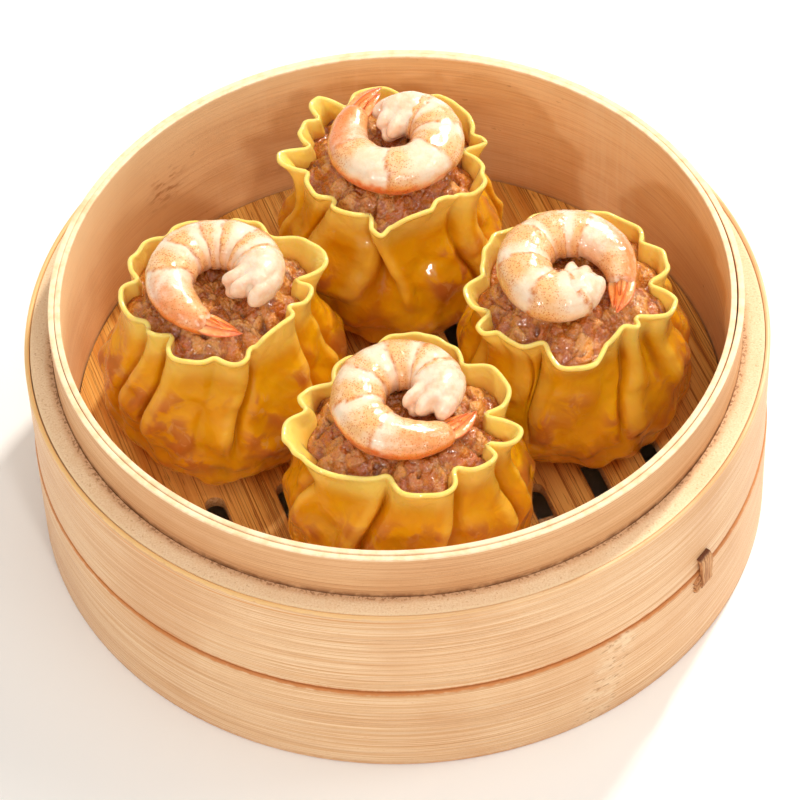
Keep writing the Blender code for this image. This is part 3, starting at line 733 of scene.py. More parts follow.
def build_bands(skin, sawn, warm):
    """The shoulder band, its skin, the lower band and the ledge hoop."""
    shoulder = hoop("shoulder", SHOULDER_INSIDE - 0.1 * MM, SHOULDER_OUTSIDE, GROOVE_TOP, SHOULDER_TOP, 0.15 * MM)
    wander(shoulder, 0.05 * MM, 0.05 * MM, 2)
    smooth(shoulder)
    finish_piece(shoulder, sawn, "bamboo_end_grain", "shoulder_band")
    upper = hoop("upper_skin", SHOULDER_OUTSIDE + 0.12 * MM, SKIN_OUTSIDE, GROOVE_TOP, SKIN_TOP, 0.42 * MM)
    wander(upper, 0.06 * MM, 0.06 * MM, 4)
    smooth(upper)
    finish_piece(upper, skin, "bamboo_pale", "upper_skin_band")
    lower = hoop("lower", SHOULDER_INSIDE, LOWER_OUTSIDE, 0.0, LOWER_TOP, 0.55 * MM)
    wander(lower, 0.05 * MM, 0.0, 5)
    smooth(lower)
    finish_piece(lower, skin, "bamboo_pale", "lower_band")
    ledge_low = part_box("floor_ledge")[0][2]
    ledge_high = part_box("floor_ledge")[1][2]
    ledge = hoop("ledge", LEDGE_INSIDE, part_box("floor_ledge")[1][0], ledge_low, ledge_high, 0.3 * MM)
    smooth(ledge)
    finish_piece(ledge, warm, "bamboo_warm", "floor_ledge")


def slot_outline(across, start, end, width, steps=9):
    """A slot with round ends along the grain of the board."""
    radius = width / 2
    points = []
    for centre, turn in ((start + radius, math.pi), (end - radius, 0.0)):
        for step in range(steps + 1):
            angle = turn + math.pi * step / steps
            along = centre + radius * math.sin(angle)
            aside = across + radius * math.cos(angle)
            x = aside * math.cos(GRAIN_TURN) + along * math.sin(GRAIN_TURN)
            y = aside * math.sin(GRAIN_TURN) - along * math.cos(GRAIN_TURN)
            points.append((x * MM, y * MM))
    return points


def build_floor(board_material):
    """The slotted board, cut as a flat outline with softened edges."""
    fresh()
    edge = 0.18 * MM
    curve = bpy.data.curves.new("board", "CURVE")
    curve.dimensions = "2D"
    curve.fill_mode = "BOTH"
    curve.extrude = (FLOOR_TOP - FLOOR_UNDERSIDE) / 2 - edge
    curve.bevel_depth = edge
    curve.bevel_resolution = 1
    outlines = [[((FLOOR_RADIUS - edge) * math.cos(math.tau * step / HOOP_STEPS),
                  (FLOOR_RADIUS - edge) * math.sin(math.tau * step / HOOP_STEPS)) for step in range(HOOP_STEPS)]]
    outlines += [slot_outline(*slot, SLOT_WIDTH + 2 * edge / MM) for slot in SLOTS]
    for points in outlines:
        spline = curve.splines.new("POLY")
        spline.points.add(len(points) - 1)
        for knot, (x, y) in zip(spline.points, points):
            knot.co = (x, y, 0.0, 1.0)
        spline.use_cyclic_u = True
    board = bpy.data.objects.new("board", curve)
    bpy.context.scene.collection.objects.link(board)
    board.location.z = (FLOOR_TOP + FLOOR_UNDERSIDE) / 2
    bpy.context.view_layer.objects.active = board
    board.select_set(True)
    bpy.ops.object.convert(target="MESH")
    bpy.ops.object.transform_apply(location=True, rotation=True, scale=True)
    board = new_piece("board")
    close_up(board)
    smooth(board)
    finish_piece(board, board_material, "bamboo_warm", "floor_board")


def strap(size, place, tilt, cuts):
    """A flat piece of split cane: thickness, width and height, then where its middle stands, all in mm."""
    fresh()
    bpy.ops.mesh.primitive_cube_add(size=1.0)
    piece = new_piece("stitch")
    bpy.ops.mesh.select_all(action="SELECT")
    bpy.ops.transform.resize(value=tuple(side * MM for side in size))
    pick(piece, lambda edge: edge.calc_face_angle(0) > 1.0)
    bpy.ops.mesh.bevel(offset=0.16 * MM, segments=2)
    pick(piece, lambda edge: abs(edge.verts[0].co.z - edge.verts[1].co.z) > 0.5 * size[2] * MM)
    bpy.ops.mesh.subdivide(number_cuts=cuts)
    pick(piece, lambda edge: abs(edge.verts[0].co.y - edge.verts[1].co.y) > 0.5 * size[1] * MM)
    bpy.ops.mesh.subdivide(number_cuts=13)
    bpy.ops.mesh.select_all(action="SELECT")
    bpy.ops.mesh.normals_make_consistent(inside=False)
    bpy.ops.object.mode_set(mode="OBJECT")
    shaded_ends = []
    for vert in piece.data.vertices:
        share = 2 * vert.co.z / (size[2] * MM)
        # Painted shade: the ends darken where the cane dives into the wall.
        shaded_ends.append(ease((abs(share) - 0.86) / 0.14) * 0.9)
        furrow = noise.noise(Vector((vert.co.y / (0.42 * MM), vert.co.z / (5.0 * MM), place[2])))
        if vert.co.x > 0:
            vert.co.x += 0.2 * MM * furrow
        vert.co.x -= 0.45 * MM * max(abs(share) - 0.7, 0.0) / 0.3
    paint(piece, "dark", shaded_ends)
    piece.data.transform(Matrix.Rotation(math.radians(tilt), 4, "X"))
    piece.data.transform(Matrix.Translation(Vector(place) * MM))
    return piece


def build_stitch(cane):
    """The short cane stitch over the groove: one broad strap, three short strands at its lower left, a stub."""
    surface = LOWER_OUTSIDE / MM
    pieces = [strap((0.9, 3.5, 9.8), (surface + 0.5, -0.3, 23.2), 4.0, 15)]
    for row in range(3):
        pieces.append(strap((0.8, 0.6, 2.3), (surface + 0.25, -2.5 + 0.15 * row, 21.9 - 1.35 * row), -62.0, 5))
    pieces.append(strap((0.8, 1.5, 3.0), (surface + 0.3, 1.5, 19.6), 24.0, 5))
    middle = pieces[0]
    for vert in middle.data.vertices:
        share = (vert.co.z / MM - 23.2) / 4.9
        vert.co.y = vert.co.y * (1 - 0.3 * ease(-share - 0.2)) + 0.5 * MM * (1 - share ** 2)
    fresh()
    for piece in pieces:
        piece.select_set(True)
    bpy.context.view_layer.objects.active = middle
    bpy.ops.object.join()
    middle.data.transform(Matrix.Rotation(STITCH_AZIMUTH, 4, "Z"))
    smooth(middle)
    finish_piece(middle, cane, "cane", "cane_stitch")


# Shumai: sizes in mm, heights measured up from the floor board, angles in degrees with -90 at the front

DOUGH = 1.05
WALL_COLUMNS = 380
WALL_ROWS = 70
FOOT_LIFT = 0.35
BODY = ((0.0, 0.72), (0.7, 0.79), (1.8, 0.85), (3.4, 0.905), (5.5, 0.95), (8.5, 0.985), (12.0, 1.0), (16.0, 0.985),
        (20.0, 0.94), (24.0, 0.87), (27.0, 0.81), (30.0, 0.765), (33.0, 0.745), (40.0, 0.74))
FRILL_SHARE = ((0.0, 0.0), (22.0, 0.0), (26.0, 0.04), (29.0, 0.16), (32.0, 0.42), (34.5, 0.72), (37.0, 1.0))

# Lobes of a frill: notch angle, notch radius, crest angle, crest radius, lift
# Pleats: where the pleat lies at the rim, its route down as angle and height, which side laps over (1 is the side
# of greater angle), how far that side stands up, and the height where the pleat starts
SHUMAI = {
    "back": {
        "place": (0.0, 34.5), "belly": 23.0, "rim": 37.0, "twist": -6.0, "seed": 1.0,
        "rolls": ((-101, -62, 1.5), (-134, -108, 0.5), (120, 142, 0.8), (160, 190, 0.8)),
        "lobes": ((-165, 17.6, -150, 19.0, 0.3), (-134, 17.2, -119, 17.9, 1.4), (-106, 17.6, -99, 20.4, -0.2),
                  (-91, 17.8, -66, 17.5, 2.1), (-50, 18.2, -29, 20.0, 0.2), (0, 15.4, 8, 20.3, 0.0),
                  (17, 18.1, 32, 19.6, 0.5), (74, 16.8, 103, 20.3, -0.1), (119, 17.4, 130, 22.0, 0.0),
                  (141, 18.1, 152, 20.4, 0.1), (168, 16.2, 180, 22.0, 0.0)),
        "pleats": ((-174, ((-177, 34), (-172, 27), (-173, 20), (-172, 12)), 1, 1.0, 36),
                   (-131, ((-130, 38), (-141, 30.6), (-149, 23.7), (-152, 14)), 1, 1.4, 40),
                   (-108, ((-107, 36), (-100.5, 28), (-104, 22), (-110, 18), (-109, 13)), -1, 1.6, 31),
                   (-101, ((-102, 35), (-100, 30.5), (-95, 27.3), (-88, 21.9), (-86, 17)), 1, 1.9, 40),
                   (-44, ((-36, 38), (-44, 29), (-46, 23.7), (-41, 18), (-38, 12)), 1, 1.3, 40),
                   (-27, ((-21, 36), (-32, 27), (-28, 20), (-26, 13)), -1, 1.2, 38),
                   (10, ((10, 36), (8, 25), (4, 12)), 1, 1.1, 36), (70, ((71, 37), (66, 25), (60, 12)), -1, 1.4, 38),
                   (118, ((119, 37), (116, 25), (112, 14)), 1, 1.2, 38),
                   (150, ((150, 36), (148, 26), (146, 16)), -1, 1.0, 36)),
    },
    "left": {
        "place": (-35.5, -0.3), "belly": 24.0, "rim": 37.1, "twist": -8.0, "seed": 2.0,
        "rolls": ((-124, -76, 0.6), (-26, 30, 0.9)),
        "lobes": ((-189, 16.4, -178, 19.0, 0.0), (-145, 15.9, -135, 17.1, 0.9), (-128, 15.8, -107, 19.2, -0.2),
                  (-94, 17.7, -80, 19.1, -0.3), (-70, 18.2, -52, 17.4, 1.4), (-24, 16.5, -11, 17.8, 0.2),
                  (0, 15.6, 15, 22.1, 0.0), (52, 17.0, 70, 19.0, 0.2), (90, 17.3, 108, 19.0, 0.2),
                  (126, 17.8, 147, 19.5, 0.0)),
        "pleats": ((-187, ((-189, 37), (-186, 26), (-182, 14)), 1, 1.1, 37),
                   (-147, ((-146, 37), (-145, 28), (-150, 21), (-152, 14)), 1, 1.3, 38),
                   (-124, ((-123, 40), (-124, 31), (-125, 27), (-130, 19), (-131, 12)), 1, 1.8, 40),
                   (-76, ((-71, 38), (-75, 29), (-82, 24), (-86, 19.6), (-87, 14)), -1, 1.9, 39),
                   (-29, ((-25, 38), (-31, 29.8), (-36, 21.8), (-38, 14)), -1, 1.5, 39),
                   (-3, ((2, 38), (-6, 26), (-9, 15)), -1, 1.2, 38),
                   (48, ((50, 37), (44, 26), (40, 13)), 1, 1.3, 38), (90, ((90, 37), (86, 25), (82, 13)), -1, 1.2, 37),
                   (126, ((126, 37), (124, 26), (120, 12)), 1, 1.3, 38)),
    },
    "right": {
        "place": (35.5, -1.5), "belly": 23.4, "rim": 36.5, "twist": 0.0, "seed": 3.0,
        "rolls": ((-108, -78, 0.7), (-44, -12, 0.7)),
        "lobes": ((-187, 18.4, -168, 22.3, 0.0), (-154, 19.1, -146, 23.0, -0.2), (-137, 20.6, -124, 20.8, -0.1),
                  (-111, 17.8, -94, 22.7, -0.5), (-74, 18.4, -60, 17.8, 1.0), (-45, 15.3, -22, 20.2, 0.1),
                  (-8, 14.9, 13, 19.4, 0.0), (33, 16.6, 52, 19.1, 0.1), (86, 16.8, 106, 19.0, 0.0),
                  (123, 17.5, 144, 19.7, 0.0)),
        "pleats": ((-160, ((-161, 36), (-160, 28), (-158, 20)), 1, 1.1, 36),
                   (-129, ((-131, 36), (-124, 31), (-119, 26), (-120, 20)), -1, 0.9, 36),
                   (-112, ((-112, 37), (-112, 29), (-113, 25), (-115, 20), (-114, 14)), 1, 1.7, 38),
                   (-57, ((-53, 38), (-58, 26), (-62, 22.9), (-65, 18.6), (-66, 12)), 1, 1.8, 39),
                   (-34, ((-33, 36), (-36, 31), (-34, 26), (-33, 18)), 1, 1.3, 37),
                   (-6, ((-7, 37), (-10, 27), (-8, 15)), -1, 1.3, 38), (33, ((33, 37), (30, 26), (28, 14)), 1, 1.2, 37),
                   (84, ((85, 37), (80, 25), (78, 12)), -1, 1.3, 38),
                   (123, ((123, 37), (120, 25), (118, 13)), 1, 1.2, 37)),
    },
    "front": {
        "place": (1.0, -35.5), "belly": 23.8, "rim": 37.3, "twist": -14.0, "seed": 4.0,
        "rolls": ((-34, -8, 1.3), (150, 200, 0.8), (-200, -150, 0.8)),
        "lobes": ((-186, 18.0, -168, 22.6, 0.0), (-108, 15.9, -79, 20.8, -0.5), (-58, 17.6, -40, 20.1, 0.3),
                  (-32, 17.6, -20, 21.0, 0.1), (-7, 15.8, 16, 20.6, 0.1), (47, 16.2, 81, 20.7, -0.1),
                  (112, 16.6, 130, 18.1, 0.2), (148, 16.2, 164, 19.4, 0.1)),
        "pleats": ((-158, ((-160, 34), (-151, 31), (-156, 25), (-160, 16)), 1, 1.2, 34),
                   (-107, ((-106, 38), (-110, 31), (-121, 20.5), (-124, 12)), -1, 1.7, 39),
                   (-63, ((-62, 38), (-66, 30), (-69, 26), (-74, 22), (-77, 14)), -1, 1.7, 39),
                   (-33, ((-31, 37), (-33, 30), (-30, 23), (-30, 15)), -1, 1.5, 38),
                   (-10, ((-8, 37), (-13, 29), (-14, 22), (-17, 15)), -1, 1.4, 38),
                   (46, ((47, 37), (40, 26), (34, 13)), 1, 1.3, 38),
                   (110, ((111, 37), (104, 25), (98, 13)), -1, 1.3, 38),
                   (150, ((150, 37), (146, 26), (140, 14)), 1, 1.2, 37)),
    },
}

# Shrimps: centre offset, angle of the tail tip, turn from tail to head, length of the curl, joints between
# segments as degrees from the tail tip with the start of the torn head last, how the head tucks in and swells,
# how orange the tail is, how far the fingers of the head are drawn back and how far the tail perks up, mm
SHRIMPS = {
    "back": {"offset": (1.2, 0.6), "tail": 99.0, "turn": 1, "curl": 373.0, "tuck": 2.8, "head_swell": 0.8,
             "blush": 1.0, "reach": 0.4, "perk": 4.2, "joints": (33, 98, 162, 224, 266, 304, 328)},
    "left": {"offset": (0.2, -0.6), "tail": -69.0, "turn": -1, "curl": 334.0, "tuck": 2.6, "head_swell": 0.6,
             "blush": 0.6, "reach": 0.0, "perk": 0.0, "joints": (33, 111, 151, 187, 213, 243, 268)},
    "right": {"offset": (-1.0, -0.7), "tail": -52.0, "turn": 1, "curl": 378.0, "tuck": 3.4, "head_swell": 0.2,
              "blush": 0.7, "reach": 2.6, "perk": 0.4, "joints": (33, 116, 146, 185, 233, 283, 325)},
    "front": {"offset": (-0.3, 0.2), "tail": -8.0, "turn": -1, "curl": 380.0, "tuck": 3.0, "head_swell": 0.7,
              "blush": 0.5, "reach": 0.3, "perk": 0.6, "joints": (33, 110, 160, 205, 247, 284, 309)},
}


def along_table(table, value):
    """Read a table of place and amount along a smooth curve through its rows."""
    if value <= table[0][0]:
        return table[0][1]
    if value >= table[-1][0]:
        return table[-1][1]
    row = next(number for number in range(len(table) - 1) if value <= table[number + 1][0])
    (start, low), (end, high) = table[row], table[row + 1]
    span = end - start
    slope = before = after = (high - low) / span
    if row > 0:
        before = (slope + (low - table[row - 1][1]) / (start - table[row - 1][0])) / 2
    if row < len(table) - 2:
        after = (slope + (table[row + 2][1] - high) / (table[row + 2][0] - end)) / 2
    share = (value - start) / span
    rest = 1 - share
    level = low * (1 + 2 * share) * rest * rest + high * share * share * (1 + 2 * rest)
    return level + span * share * rest * (before * rest - after * share)


def ease(value):
    """Smooth step from 0 to 1."""
    value = min(max(value, 0.0), 1.0)
    return value * value * (3 - 2 * value)


def scallop(share):
    """From a narrow soft notch at 0 up to a broad round crest at 1."""
    share *= 1.12 * share / (share + 0.12)
    return 1 - (1 - share) ** 2.8


def frill(lobes, angle):
    """Radius and lift of a frill at an angle."""
    for number, (notch, notch_radius, crest, crest_radius, lift) in enumerate(lobes):
        following = lobes[(number + 1) % len(lobes)]
        end = following[0] + (360 if number == len(lobes) - 1 else 0)
        for turned in (angle, angle - 360, angle + 360):
            if notch <= turned < crest:
                rise = scallop((turned - notch) / (crest - notch))
                return notch_radius + (crest_radius - notch_radius) * rise, lift * rise
            if crest <= turned < end:
                rise = scallop((end - turned) / (end - crest))
                return following[1] + (crest_radius - following[1]) * rise, lift * rise
    return lobes[0][1], 0.0


def apart(first, second):
    """Signed difference of two angles in degrees."""
    return (first - second + 180) % 360 - 180


def pleat_angle(route, height):
    """Where a pleat is at a height: its route is listed from the top down."""
    rising = [(level, angle) for angle, level in reversed(route)]
    return along_table(rising, height)


class Wrapper:
    """The outer skin of one dough cup, as a surface over an angle and a height."""

    def __init__(self, plan):
        self.plan = plan
        self.seed = Vector((plan["seed"] * 31.0, plan["seed"] * 17.0, 0.0))
        self.frill = [frill(plan["lobes"], column * 360 / 720 - 180) for column in range(720)]

    def rim(self, angle):
        """Radius and lift of the frill, read between half degrees."""
        spot = ((angle + 180) % 360) * 2
        low = int(spot) % 720
        high = (low + 1) % 720
        share = spot - int(spot)
        first, second = self.frill[low], self.frill[high]
        return first[0] + (second[0] - first[0]) * share, first[1] + (second[1] - first[1]) * share

    def drift(self, angle, height):
        """How far the surface has turned at a height, so that each pleat keeps to its route."""
        pleats = self.plan["pleats"]
        for first, second in zip(pleats, pleats[1:] + pleats[:1]):
            gap = (second[0] - first[0]) % 360
            offset = (angle - first[0]) % 360
            if offset < gap:
                start = apart(pleat_angle(first[1], height), first[0])
                end = apart(pleat_angle(second[1], height), second[0])
                return start + (end - start) * offset / gap
        return 0.0

    def folds(self, angle, height, radius):
        """Push out and sideways where pleats lap, then how deep in a fold and how high on a ridge the place is; the
        last two also mark the painted shade in the valleys and the painted highlight on the ridges.
        """
        out, aside, deep, ridge_highlight = 0.0, 0.0, 0.0, 0.0
        for home, route, side, stand, start in self.plan["pleats"]:
            away = side * math.radians(apart(angle, home)) * radius
            if abs(away) > 14.0:
                continue
            foot = min(level for _, level in route)
            live = ease((height - foot + 4.0) / 10.0) * ease((start - height + 1.0) / 3.0)
            live *= 0.45 + 0.55 * ease((37.0 - height) / 9.0)
            crown = math.exp(-((away - 1.5) / (1.4 if away < 1.5 else 3.0)) ** 2)
            valley = math.exp(-((away + 1.0) / (1.5 if away < -1.0 else 1.0)) ** 2)
            out += stand * live * (0.85 * crown + 0.25 * math.exp(-((away - 3.0) / 6.0) ** 2) - 1.05 * valley)
            aside -= side * 0.55 * stand * live * math.exp(-((away - 0.4) / 1.2) ** 2)
            deep = max(deep, live * valley)
            ridge_highlight = max(ridge_highlight, live * math.exp(-((away - 1.2) / 1.1) ** 2))
        return out, aside, deep, ridge_highlight

    def roll(self, angle):
        """How far the lip rolls outwards at an angle."""
        total = 0.0
        for start, end, amount in self.plan["rolls"]:
            inside = (end - start) / 2 - abs(apart(angle, (start + end) / 2))
            total += amount * ease(inside / 7.0)
        return total

    def spot(self, angle, height):
        """The place on the skin in mm from the shumai's foot, with what is painted there."""
        rim_radius, lift = self.rim(angle)
        share = along_table(FRILL_SHARE, height)
        body = self.plan["belly"] * along_table(BODY, height)
        flute = (rim_radius - 18.6) * 0.33 * ease((height - 5) / 18.0) * (1 - share)
        turned = angle + self.drift(angle, height)
        out, aside, deep, ridge_highlight = self.folds(angle, height, body)
        around = math.radians(turned)
        sample = Vector((body * math.cos(around), body * math.sin(around), height)) + self.seed
        bulge = noise.fractal(sample / 8.0, 1.0, 2.0, 2)
        small = noise.noise(sample / 2.6)
        calm = ease(height / 4.0) * (1 - 0.7 * ease((height - 22) / 9.0))
        out += calm * (1.7 * bulge + 0.25 * small) * (1 - 0.5 * deep)
        gather = noise.noise(Vector((3.4 * math.cos(around), 3.4 * math.sin(around), 0.0)) + self.seed)
        out += 2.1 * gather * (1 - ease(height / 12.0))
        top = ease((height - 30) / 7.0)
        uneven = noise.noise(Vector((5.5 * math.cos(around), 5.5 * math.sin(around), 4.0)) + self.seed)
        radius = body * (1 - share) + (rim_radius + 0.35 * uneven) * share + flute + out
        rise = height + (self.plan["rim"] + lift - 37.0 + 0.35 * uneven) * top
        rolled = (0.5 + self.roll(angle)) * max(0.0, (height - 31.5) / 5.5) ** 2.2
        radius += rolled
        rise -= 0.4 * rolled
        around += aside / radius
        place = Vector((radius * math.cos(around), radius * math.sin(around), rise))
        return place, {"deep": deep, "ridge_highlight": ridge_highlight, "bulge": bulge}


def upright_wall(name, columns, rows):
    """An open tube of unit radius and height, drawn up from a circle and cut into rows, ready to be shaped."""
    fresh()
    bpy.ops.mesh.primitive_circle_add(vertices=columns, radius=1.0)
    wall = new_piece(name)
    bpy.ops.mesh.select_all(action="SELECT")
    bpy.ops.mesh.extrude_region_move(TRANSFORM_OT_translate={"value": (0, 0, 1)})
    pick(wall, lambda edge: abs(edge.verts[0].co.z - edge.verts[1].co.z) > 0.5)
    bpy.ops.mesh.subdivide(number_cuts=rows - 1)
    bpy.ops.object.mode_set(mode="OBJECT")
    return wall


def paint(piece, name, values):
    """Paint one value on each point of a mesh."""
    layer = piece.data.attributes.new(name, "FLOAT", "POINT")
    layer.data.foreach_set("value", values)


def mould(wall, shaper, names):
    """Move every point of a tube to where a rule puts it, and paint the values that the rule gives."""
    values = {name: [] for name in names}
    for vert in wall.data.vertices:
        angle = math.degrees(math.atan2(vert.co.y, vert.co.x))
        place, given = shaper(angle, min(max(vert.co.z, 0.0), 1.0))
        vert.co = place
        for name in names:
            values[name].append(given[name])
    for name in names:
        paint(wall, name, values[name])


def world_place(plan, local):
    """A place in a shumai, in metres in the steamer."""
    x, y = plan["place"]
    return Vector(((x + local.x) * MM, (y + local.y) * MM, FLOOR_TOP + (local.z + FOOT_LIFT) * MM))


def build_wrapper(corner, plan, dough):
    """The pleated dough cup, moulded from a tube, given its thickness and a rounded lip."""
    skin = Wrapper(plan)
    wall = upright_wall("dough_" + corner, WALL_COLUMNS, WALL_ROWS)

    def shape(angle, share):
        height = 37.0 * share
        local, found = skin.spot(angle, height)
        deep = found["deep"]
        show = ease((found["bulge"] + 0.35) / 0.9) * (1 - ease((height - 24) / 7.0)) * (1 - 0.6 * deep)
        lip = ease((height - 28.0) / 9.0)
        return world_place(plan, local), {"show": show, "shaded_crease": deep, "ridge_highlight": found["ridge_highlight"], "lip": lip}

    mould(wall, shape, ("show", "shaded_crease", "ridge_highlight", "lip"))
    fresh()
    bpy.context.view_layer.objects.active = wall
    wall.select_set(True)
    bpy.ops.object.mode_set(mode="EDIT")
    floor_line = FLOOR_TOP + (FOOT_LIFT + 0.01) * MM
    pick(wall, lambda edge: edge.is_boundary and edge.verts[0].co.z < floor_line + 0.3 * MM)
    bpy.ops.mesh.edge_face_add()
    close_up(wall)
    shell = wall.modifiers.new("thickness", "SOLIDIFY")
    shell.thickness = DOUGH * MM
    shell.offset = -1.0
    shell.use_rim = True
    shell.material_offset_rim = 1
    wall.data.materials.append(dough)
    wall.data.materials.append(dough)
    apply_all(wall)
    bpy.ops.object.mode_set(mode="EDIT")
    pick(wall, lambda face: face.material_index == 1, "FACE")
    bpy.ops.mesh.region_to_loop()
    bpy.ops.mesh.bevel(offset=0.5 * MM, segments=4)
    bpy.ops.object.mode_set(mode="OBJECT")
    for face in wall.data.polygons:
        face.material_index = 0
    smooth(wall, 75.0)
    finish_piece(wall, dough, "dough", "wrapper_" + corner)
    return skin


FILL_ROWS = 92
FILL_COLUMNS = 290


def mince_height(x, y, seed):
    """Relief of the mince in mm, how much painted shade falls in its pits and gaps and which chunk it is on, 0 to 1."""
    spot = Vector((x, y, seed * 9.0))
    spot += 1.0 * noise.noise_vector(spot / 3.0)
    gaps, points = noise.voronoi(spot / 2.9)
    dome = 1.0 - min(gaps[0] / 0.9, 1.0) ** 2
    shaded_crease = 1.0 - ease((gaps[1] - gaps[0]) / 0.3)
    bead_gaps, _ = noise.voronoi(spot / 1.2 + Vector((9.0, 0.0, 0.0)))
    bead = 1.0 - min(bead_gaps[0] / 0.85, 1.0) ** 2
    tint = noise.noise(points[0] * 5.3)
    slow = noise.noise(spot / 5.0 + Vector((4.0, 4.0, 0.0)))
    hollow = ease((noise.noise(spot / 2.6 + Vector((0.0, 0.0, 5.0))) - 0.4) / 0.25)
    grit = 0.25 * noise.noise(spot / 0.8) + 0.12 * noise.noise(spot / 0.45)
    height = (1.1 + 0.9 * tint) * dome + 0.6 * bead + grit + 1.2 * slow
    return height - 1.0 * hollow - 0.7, max(0.8 * hollow, 0.45 * shaded_crease), min(max(0.5 + 1.1 * tint, 0.0), 1.0)


def build_filling(corner, plan, skin, pork):
    """The minced filling, moulded from a tube whose top closes over in lumps under the shrimp."""
    wall = upright_wall("mince_" + corner, FILL_COLUMNS, FILL_ROWS)
    turn_over = 0.08
    edge_height = 32.0
    edges = {}

    def edge_at(angle):
        near = round(angle, 2)
        if near not in edges:
            edges[near] = skin.spot(angle, edge_height)[0]
        return edges[near]

    def shape(angle, share):
        if share < turn_over:
            height = 22.0 + (edge_height - 22.0) * share / turn_over
            local, _ = skin.spot(angle, height)
            inward = 1 - (DOUGH - 0.1) / math.hypot(local.x, local.y)
            place = world_place(plan, Vector((local.x * inward, local.y * inward, local.z)))
            # Painted shade on the side of the mince tucked under the dough.
            return place, {"shaded_pit": 0.6, "chunk": 0.3}
        reach = 1 - (share - turn_over) / (1 - turn_over)
        local = edge_at(angle)
        inward = (1 - (DOUGH - 0.1) / math.hypot(local.x, local.y)) * reach
        x, y = local.x * inward, local.y * inward
        relief_mm, shaded_pit, chunk = mince_height(x, y, plan["seed"])
        crown = edge_height + 4.0 * (1 - ease((reach - 0.58) / 0.5))
        height = crown + relief_mm * (1 - 0.5 * ease((reach - 0.9) / 0.1))
        # Painted shade at the edge of the top, next to the dough.
        shaded_pit = max(shaded_pit, 0.5 * ease((reach - 0.95) / 0.05))
        return world_place(plan, Vector((x, y, height))), {"shaded_pit": shaded_pit, "chunk": chunk}

    mould(wall, shape, ("shaded_pit", "chunk"))
    fresh()
    bpy.context.view_layer.objects.active = wall
    wall.select_set(True)
    bpy.ops.object.mode_set(mode="EDIT")
    pick(wall, lambda edge: edge.is_boundary and edge.verts[0].co.z < FLOOR_TOP + 30 * MM)
    bpy.ops.mesh.edge_face_add()
    close_up(wall)
    smooth(wall, 80.0)
    finish_piece(wall, pork, "pork_mince", "filling_" + corner)


# Shrimp: along the curl in degrees from the tail tip; half widths and half heights in mm
SHRIMP_SEAT = 36.9
TAIL_ROOT = 33.0
GIRTH_WIDE = ((27.0, 1.7), (33.0, 2.5), (45.0, 3.2), (60.0, 3.8), (90.0, 4.5), (130.0, 5.0), (180.0, 5.3), (330.0, 5.3))
GIRTH_TALL = ((27.0, 1.4), (33.0, 1.9), (45.0, 2.5), (60.0, 3.0), (90.0, 3.6), (130.0, 4.0), (180.0, 4.2), (330.0, 4.2))
HEAD_CAP = 5.5

# Lobes of a torn head: aside, up, tip ahead of the body's end, half length, half width, half height, fan in degrees
HEAD_LOBES = ((0.0, 4.0, -2.6, 5.2, 4.8, 4.0, 0.0), (-3.3, 4.4, 0.8, 3.6, 1.5, 2.4, -34.0),
              (-2.2, 2.4, 1.4, 3.6, 1.6, 1.9, -24.0), (-0.6, 4.4, 1.7, 4.2, 1.5, 2.8, -18.0),
              (2.2, 3.8, 1.0, 4.4, 1.8, 2.8, -6.0), (0.8, 6.3, -1.6, 3.6, 1.8, 1.6, -14.0))
LOBE_GRIP = 5.0

# Blades of a tail fan: place aside at the root and at the tip, where the tip is, half width, lift
TAIL_BLADES = ((-1.45, -0.6, 3.0, 1.55, 0.0), (1.4, 0.4, -1.5, 1.65, 0.15), (0.0, 0.0, 14.0, 0.95, 0.8))


def curl_point(curl, along):
    """The middle of the shrimp's body in plan, mm from the shumai's centre."""
    angle = math.radians(curl["tail"] + curl["turn"] * along)
    reach = 8.9 + 4.6 * math.exp(-along / 38.0) - curl["tuck"] * ease((along - 285.0) / 90.0)
    x, y = curl["offset"]
    return Vector((x + reach * math.cos(angle), y + reach * math.sin(angle), 0.0))


def curl_place(plan, curl, along, out, up):
    """A place beside the middle line of a curled shrimp: square to the line, and up from its seat."""
    middle = curl_point(curl, along)
    ahead = (curl_point(curl, along + 1.0) - curl_point(curl, along - 1.0)).normalized()
    outward = Vector((ahead.y, -ahead.x, 0.0)) * curl["turn"]
    perked = curl["perk"] * ease((75.0 - along) / 80.0)
    return middle + outward * out + Vector((0.0, 0.0, SHRIMP_SEAT + up + perked))


def joint_gaps(joints, along):
    """Distance in degrees back to the joint behind a place and on to the joint ahead of it."""
    behind = max([joint for joint in joints if joint <= along], default=joints[0] - 60.0)
    ahead = min([joint for joint in joints if joint > along], default=joints[-1] + 160.0)
    return along - behind, ahead - along


